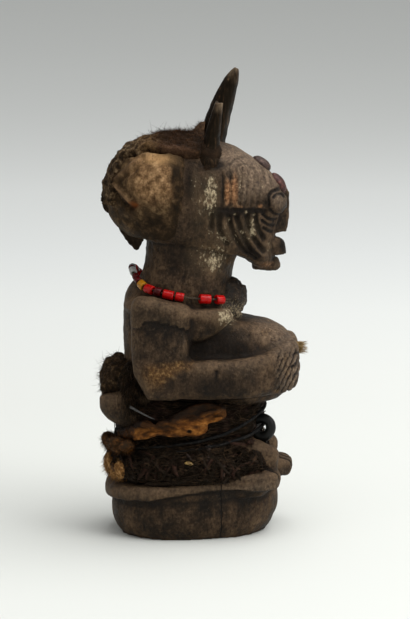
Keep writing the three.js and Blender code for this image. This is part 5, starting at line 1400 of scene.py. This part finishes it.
skirt, points = band(
    "matted_skirt", "dark_feather",
    [[35.2, -7], [35.6, -1], [37.5, 4.2], [41, 6.0], [45, 5.6], [49, 3.6], [53, 0.6], [57, -0.6], [62, -2], [64, -7]],
    460, 8, lambda points: 1.5 * rough(points, 9, 201, 4, (1.6, 1.6, 0.9))
    + 2.0 * (np.abs(rough(points, 6, 205, 3, (2.2, 2.2, 0.8))) - 0.3)
    - 3.0 * bell((np.linalg.norm(points * 1000 - ring_centre, axis=1), 11), power=4) + knees(points * 1000))
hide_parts("feather_skirt")
layer(skirt, purple=0.5 + 0.9 * rough(points, 14, 207, 2))
skirt.data.materials.append(packing.made)


def blades(name, slot, lines, outward, widths, seed):
    """Closed thin feathers in one mesh. Each is carried along its line with a section of four points: two edges
    and a low ridge over and under the middle. Its width follows the square root of the sine of its length, so it
    starts narrow, is widest in the middle and ends blunt."""
    rng = np.random.default_rng(seed)
    count, places = lines.shape[:2]
    ahead = unit(np.gradient(lines, axis=1))
    side = unit(np.cross(ahead, outward), 1e-9)
    face = np.cross(side, ahead)
    wide = widths[:, None, None] / 2 * np.sin(np.pi * np.linspace(0.03, 0.97, places)[:, None] ** 0.8) ** 0.55
    curl = rng.uniform(-0.35, 0.35, count)[:, None, None] * wide
    section = np.stack([lines - side * wide + face * curl, lines + face * 0.28, lines + side * wide + face * curl,
                        lines - face * 0.28], axis=2)
    points = np.concatenate([section.reshape(count, -1, 3), lines[:, :1] - ahead[:, :1] * 0.3,
                             lines[:, -1:] + ahead[:, -1:] * 0.5], axis=1) / 1000
    root, last = 4 * places, 4 * (places - 1)
    first = ((root + 2) * np.arange(count))[:, None, None]
    caps = np.array([[root, (s + 1) % 4, s] for s in range(4)]
                    + [[root + 1, last + s, last + (s + 1) % 4] for s in range(4)])
    made = piece(name, slot, points, first + net(places, 4, False, True), first + caps)
    layer(made, across=np.tile([*np.tile([0, 0.5, 1, 0.5], places), 0.5, 0.5], count),
          along=np.tile([*np.repeat(np.linspace(0, 1, places), 4), 0, 1], count),
          which=np.repeat(rng.random(count), root + 2))
    return made


rng, count = np.random.default_rng(31), 520
share = np.linspace(0, 1, 9)[None]
start = rng.uniform(-np.pi, np.pi, count)[:, None]
top = rng.uniform(45, 60, count)[:, None]
drop = rng.uniform(5, 19, count)[:, None] * np.where(rng.random(count) < 0.85, 1, -0.4)[:, None]
slide = rng.normal(0, 0.22, count)[:, None]
height = top - drop * share + 1.6 * rng.normal(size=(count, 1)) * np.sin(np.pi * share)
height = np.maximum(height, 36.8 + rng.uniform(0, 2.5, count)[:, None])
stand = belly(height) + rng.uniform(-0.6, 1.1, count)[:, None] + rng.uniform(-1, 2.0, count)[:, None] * share**2
lines = hip_place(start + slide * share + 0.03 * np.sin(share * 5), stand, height)
outward = out_from_hips(lines / 1000)
lines = lines + outward * knees(lines)[..., None]
outward = outward + rng.normal(size=(count, 1, 3)) * 0.25
clear = clear_of_ring(lines)
feathers = blades("dark_feathers", "dark_feather", lines[clear], outward[clear], rng.uniform(1.6, 4.6, clear.sum()),
                  32)
feather = Finish("dark feather", 0.14, BROWN_SHEEN)
fine, which = feather.noise(3.0, 6, 0.7), feather.level("which")
color = fine.ramp((0.34, 3, 2, 1), (0.52, 14, 9, 7), (0.66, 36, 25, 19), (0.8, 76, 60, 50))
color = color.mixed(which.between(0.62, 0.8), fine.ramp((0.34, 12, 7, 6), (0.6, 48, 29, 24)))
color = color.mixed(which.between(0.97, 0.98), fine.ramp((0.34, 44, 31, 21), (0.6, 96, 74, 54)))
# The barbs slant away from the shaft on both sides of it.
barbs = (feather.level("along") * 95.0 - (feather.level("across") - 0.5).maths("ABSOLUTE") * 26.0).maths("SINE")
feather.lay([feathers], color, fine.ramp((0.35, 0.55), (0.65, 0.32)), (barbs, 0.06), (fine, 0.5))

# Strips and fibres caught in the skirt.
wrap = wound(1300, 38, 62, (0.8, 2.2), (6, 30), 4.0, 33)
stand = np.interp(wrap[..., 2], [36, 40, 44, 48, 52, 56, 62], [4.6, 6.4, 6.4, 5.0, 2.8, 1.0, 0.2])
wrap += out_from_hips(wrap / 1000) * (stand + knees(wrap) + 0.4)[..., None]
wrap[..., 2] = np.maximum(wrap[..., 2], 37)
skirt_fibres = strands("skirt_fibres", "dark_feather", wrap, rng.uniform(0.14, 0.42, len(wrap)), 34)
skirt_fibres.data.materials.append(dark_fibre.made)


def on_roll(x, z, out, middle=-4.98, half_length=47.35):
    """Places on the right side of the roll at a length and a height, standing out of it by a distance."""
    stand = belly(z) + out
    reach = np.abs(x - middle) / (half_length + stand)
    return np.stack([x, -(hip_half + stand) * (1 - reach**hip_square) ** (1 / hip_square), z], -1)


pale_feather = blades(
    "pale_feather", "dark_feather", on_roll(np.linspace(9.2, 8.6, 9), np.linspace(60.4, 48.6, 9), 1.2)[None],
    [0.15, -1, 0.1], np.array([4.0]), 35)
pale_strips = blades("pale_hide_strips", "orange_hide", np.stack([
    on_roll(np.linspace(17.5, 19.0, 9) + 0.6 * np.sin(np.linspace(0, 5, 9)), np.linspace(57.4, 40.6, 9), 1.0),
    on_roll(np.linspace(-4.5, -1.5, 9), np.linspace(55.4, 51.4, 9), 1.2)]), [0.1, -1, 0], np.array([2.2, 2.0]), 36)
faded = Finish("faded quill and hide", Roughness=0.6)
fine = faded.noise(1.6, 5, 0.7, stretch=(1, 1, 4))
faded.lay([pale_feather, pale_strips], fine.ramp((0.32, 24, 14, 9), (0.5, 52, 34, 23), (0.7, 92, 68, 50)), None,
          (fine, 0.3))
yellow_seed = melted("yellow_seed", "dark_feather", [
    lump((-3.6, -38.0, 50.0), (2.3, 1.5, 1.1)), lump((-1.6, -38.1, 49.2), (1.3, 1.2, 0.9))], 0.3, 3,
    lambda points: 0.2 * rough(points, 1.5, 211, 2))[0]
husk = Finish("yellow seed", Roughness=0.55)
husk.lay([yellow_seed], husk.noise(1.2).ramp((0.35, 84, 60, 24), (0.65, 160, 130, 70)))
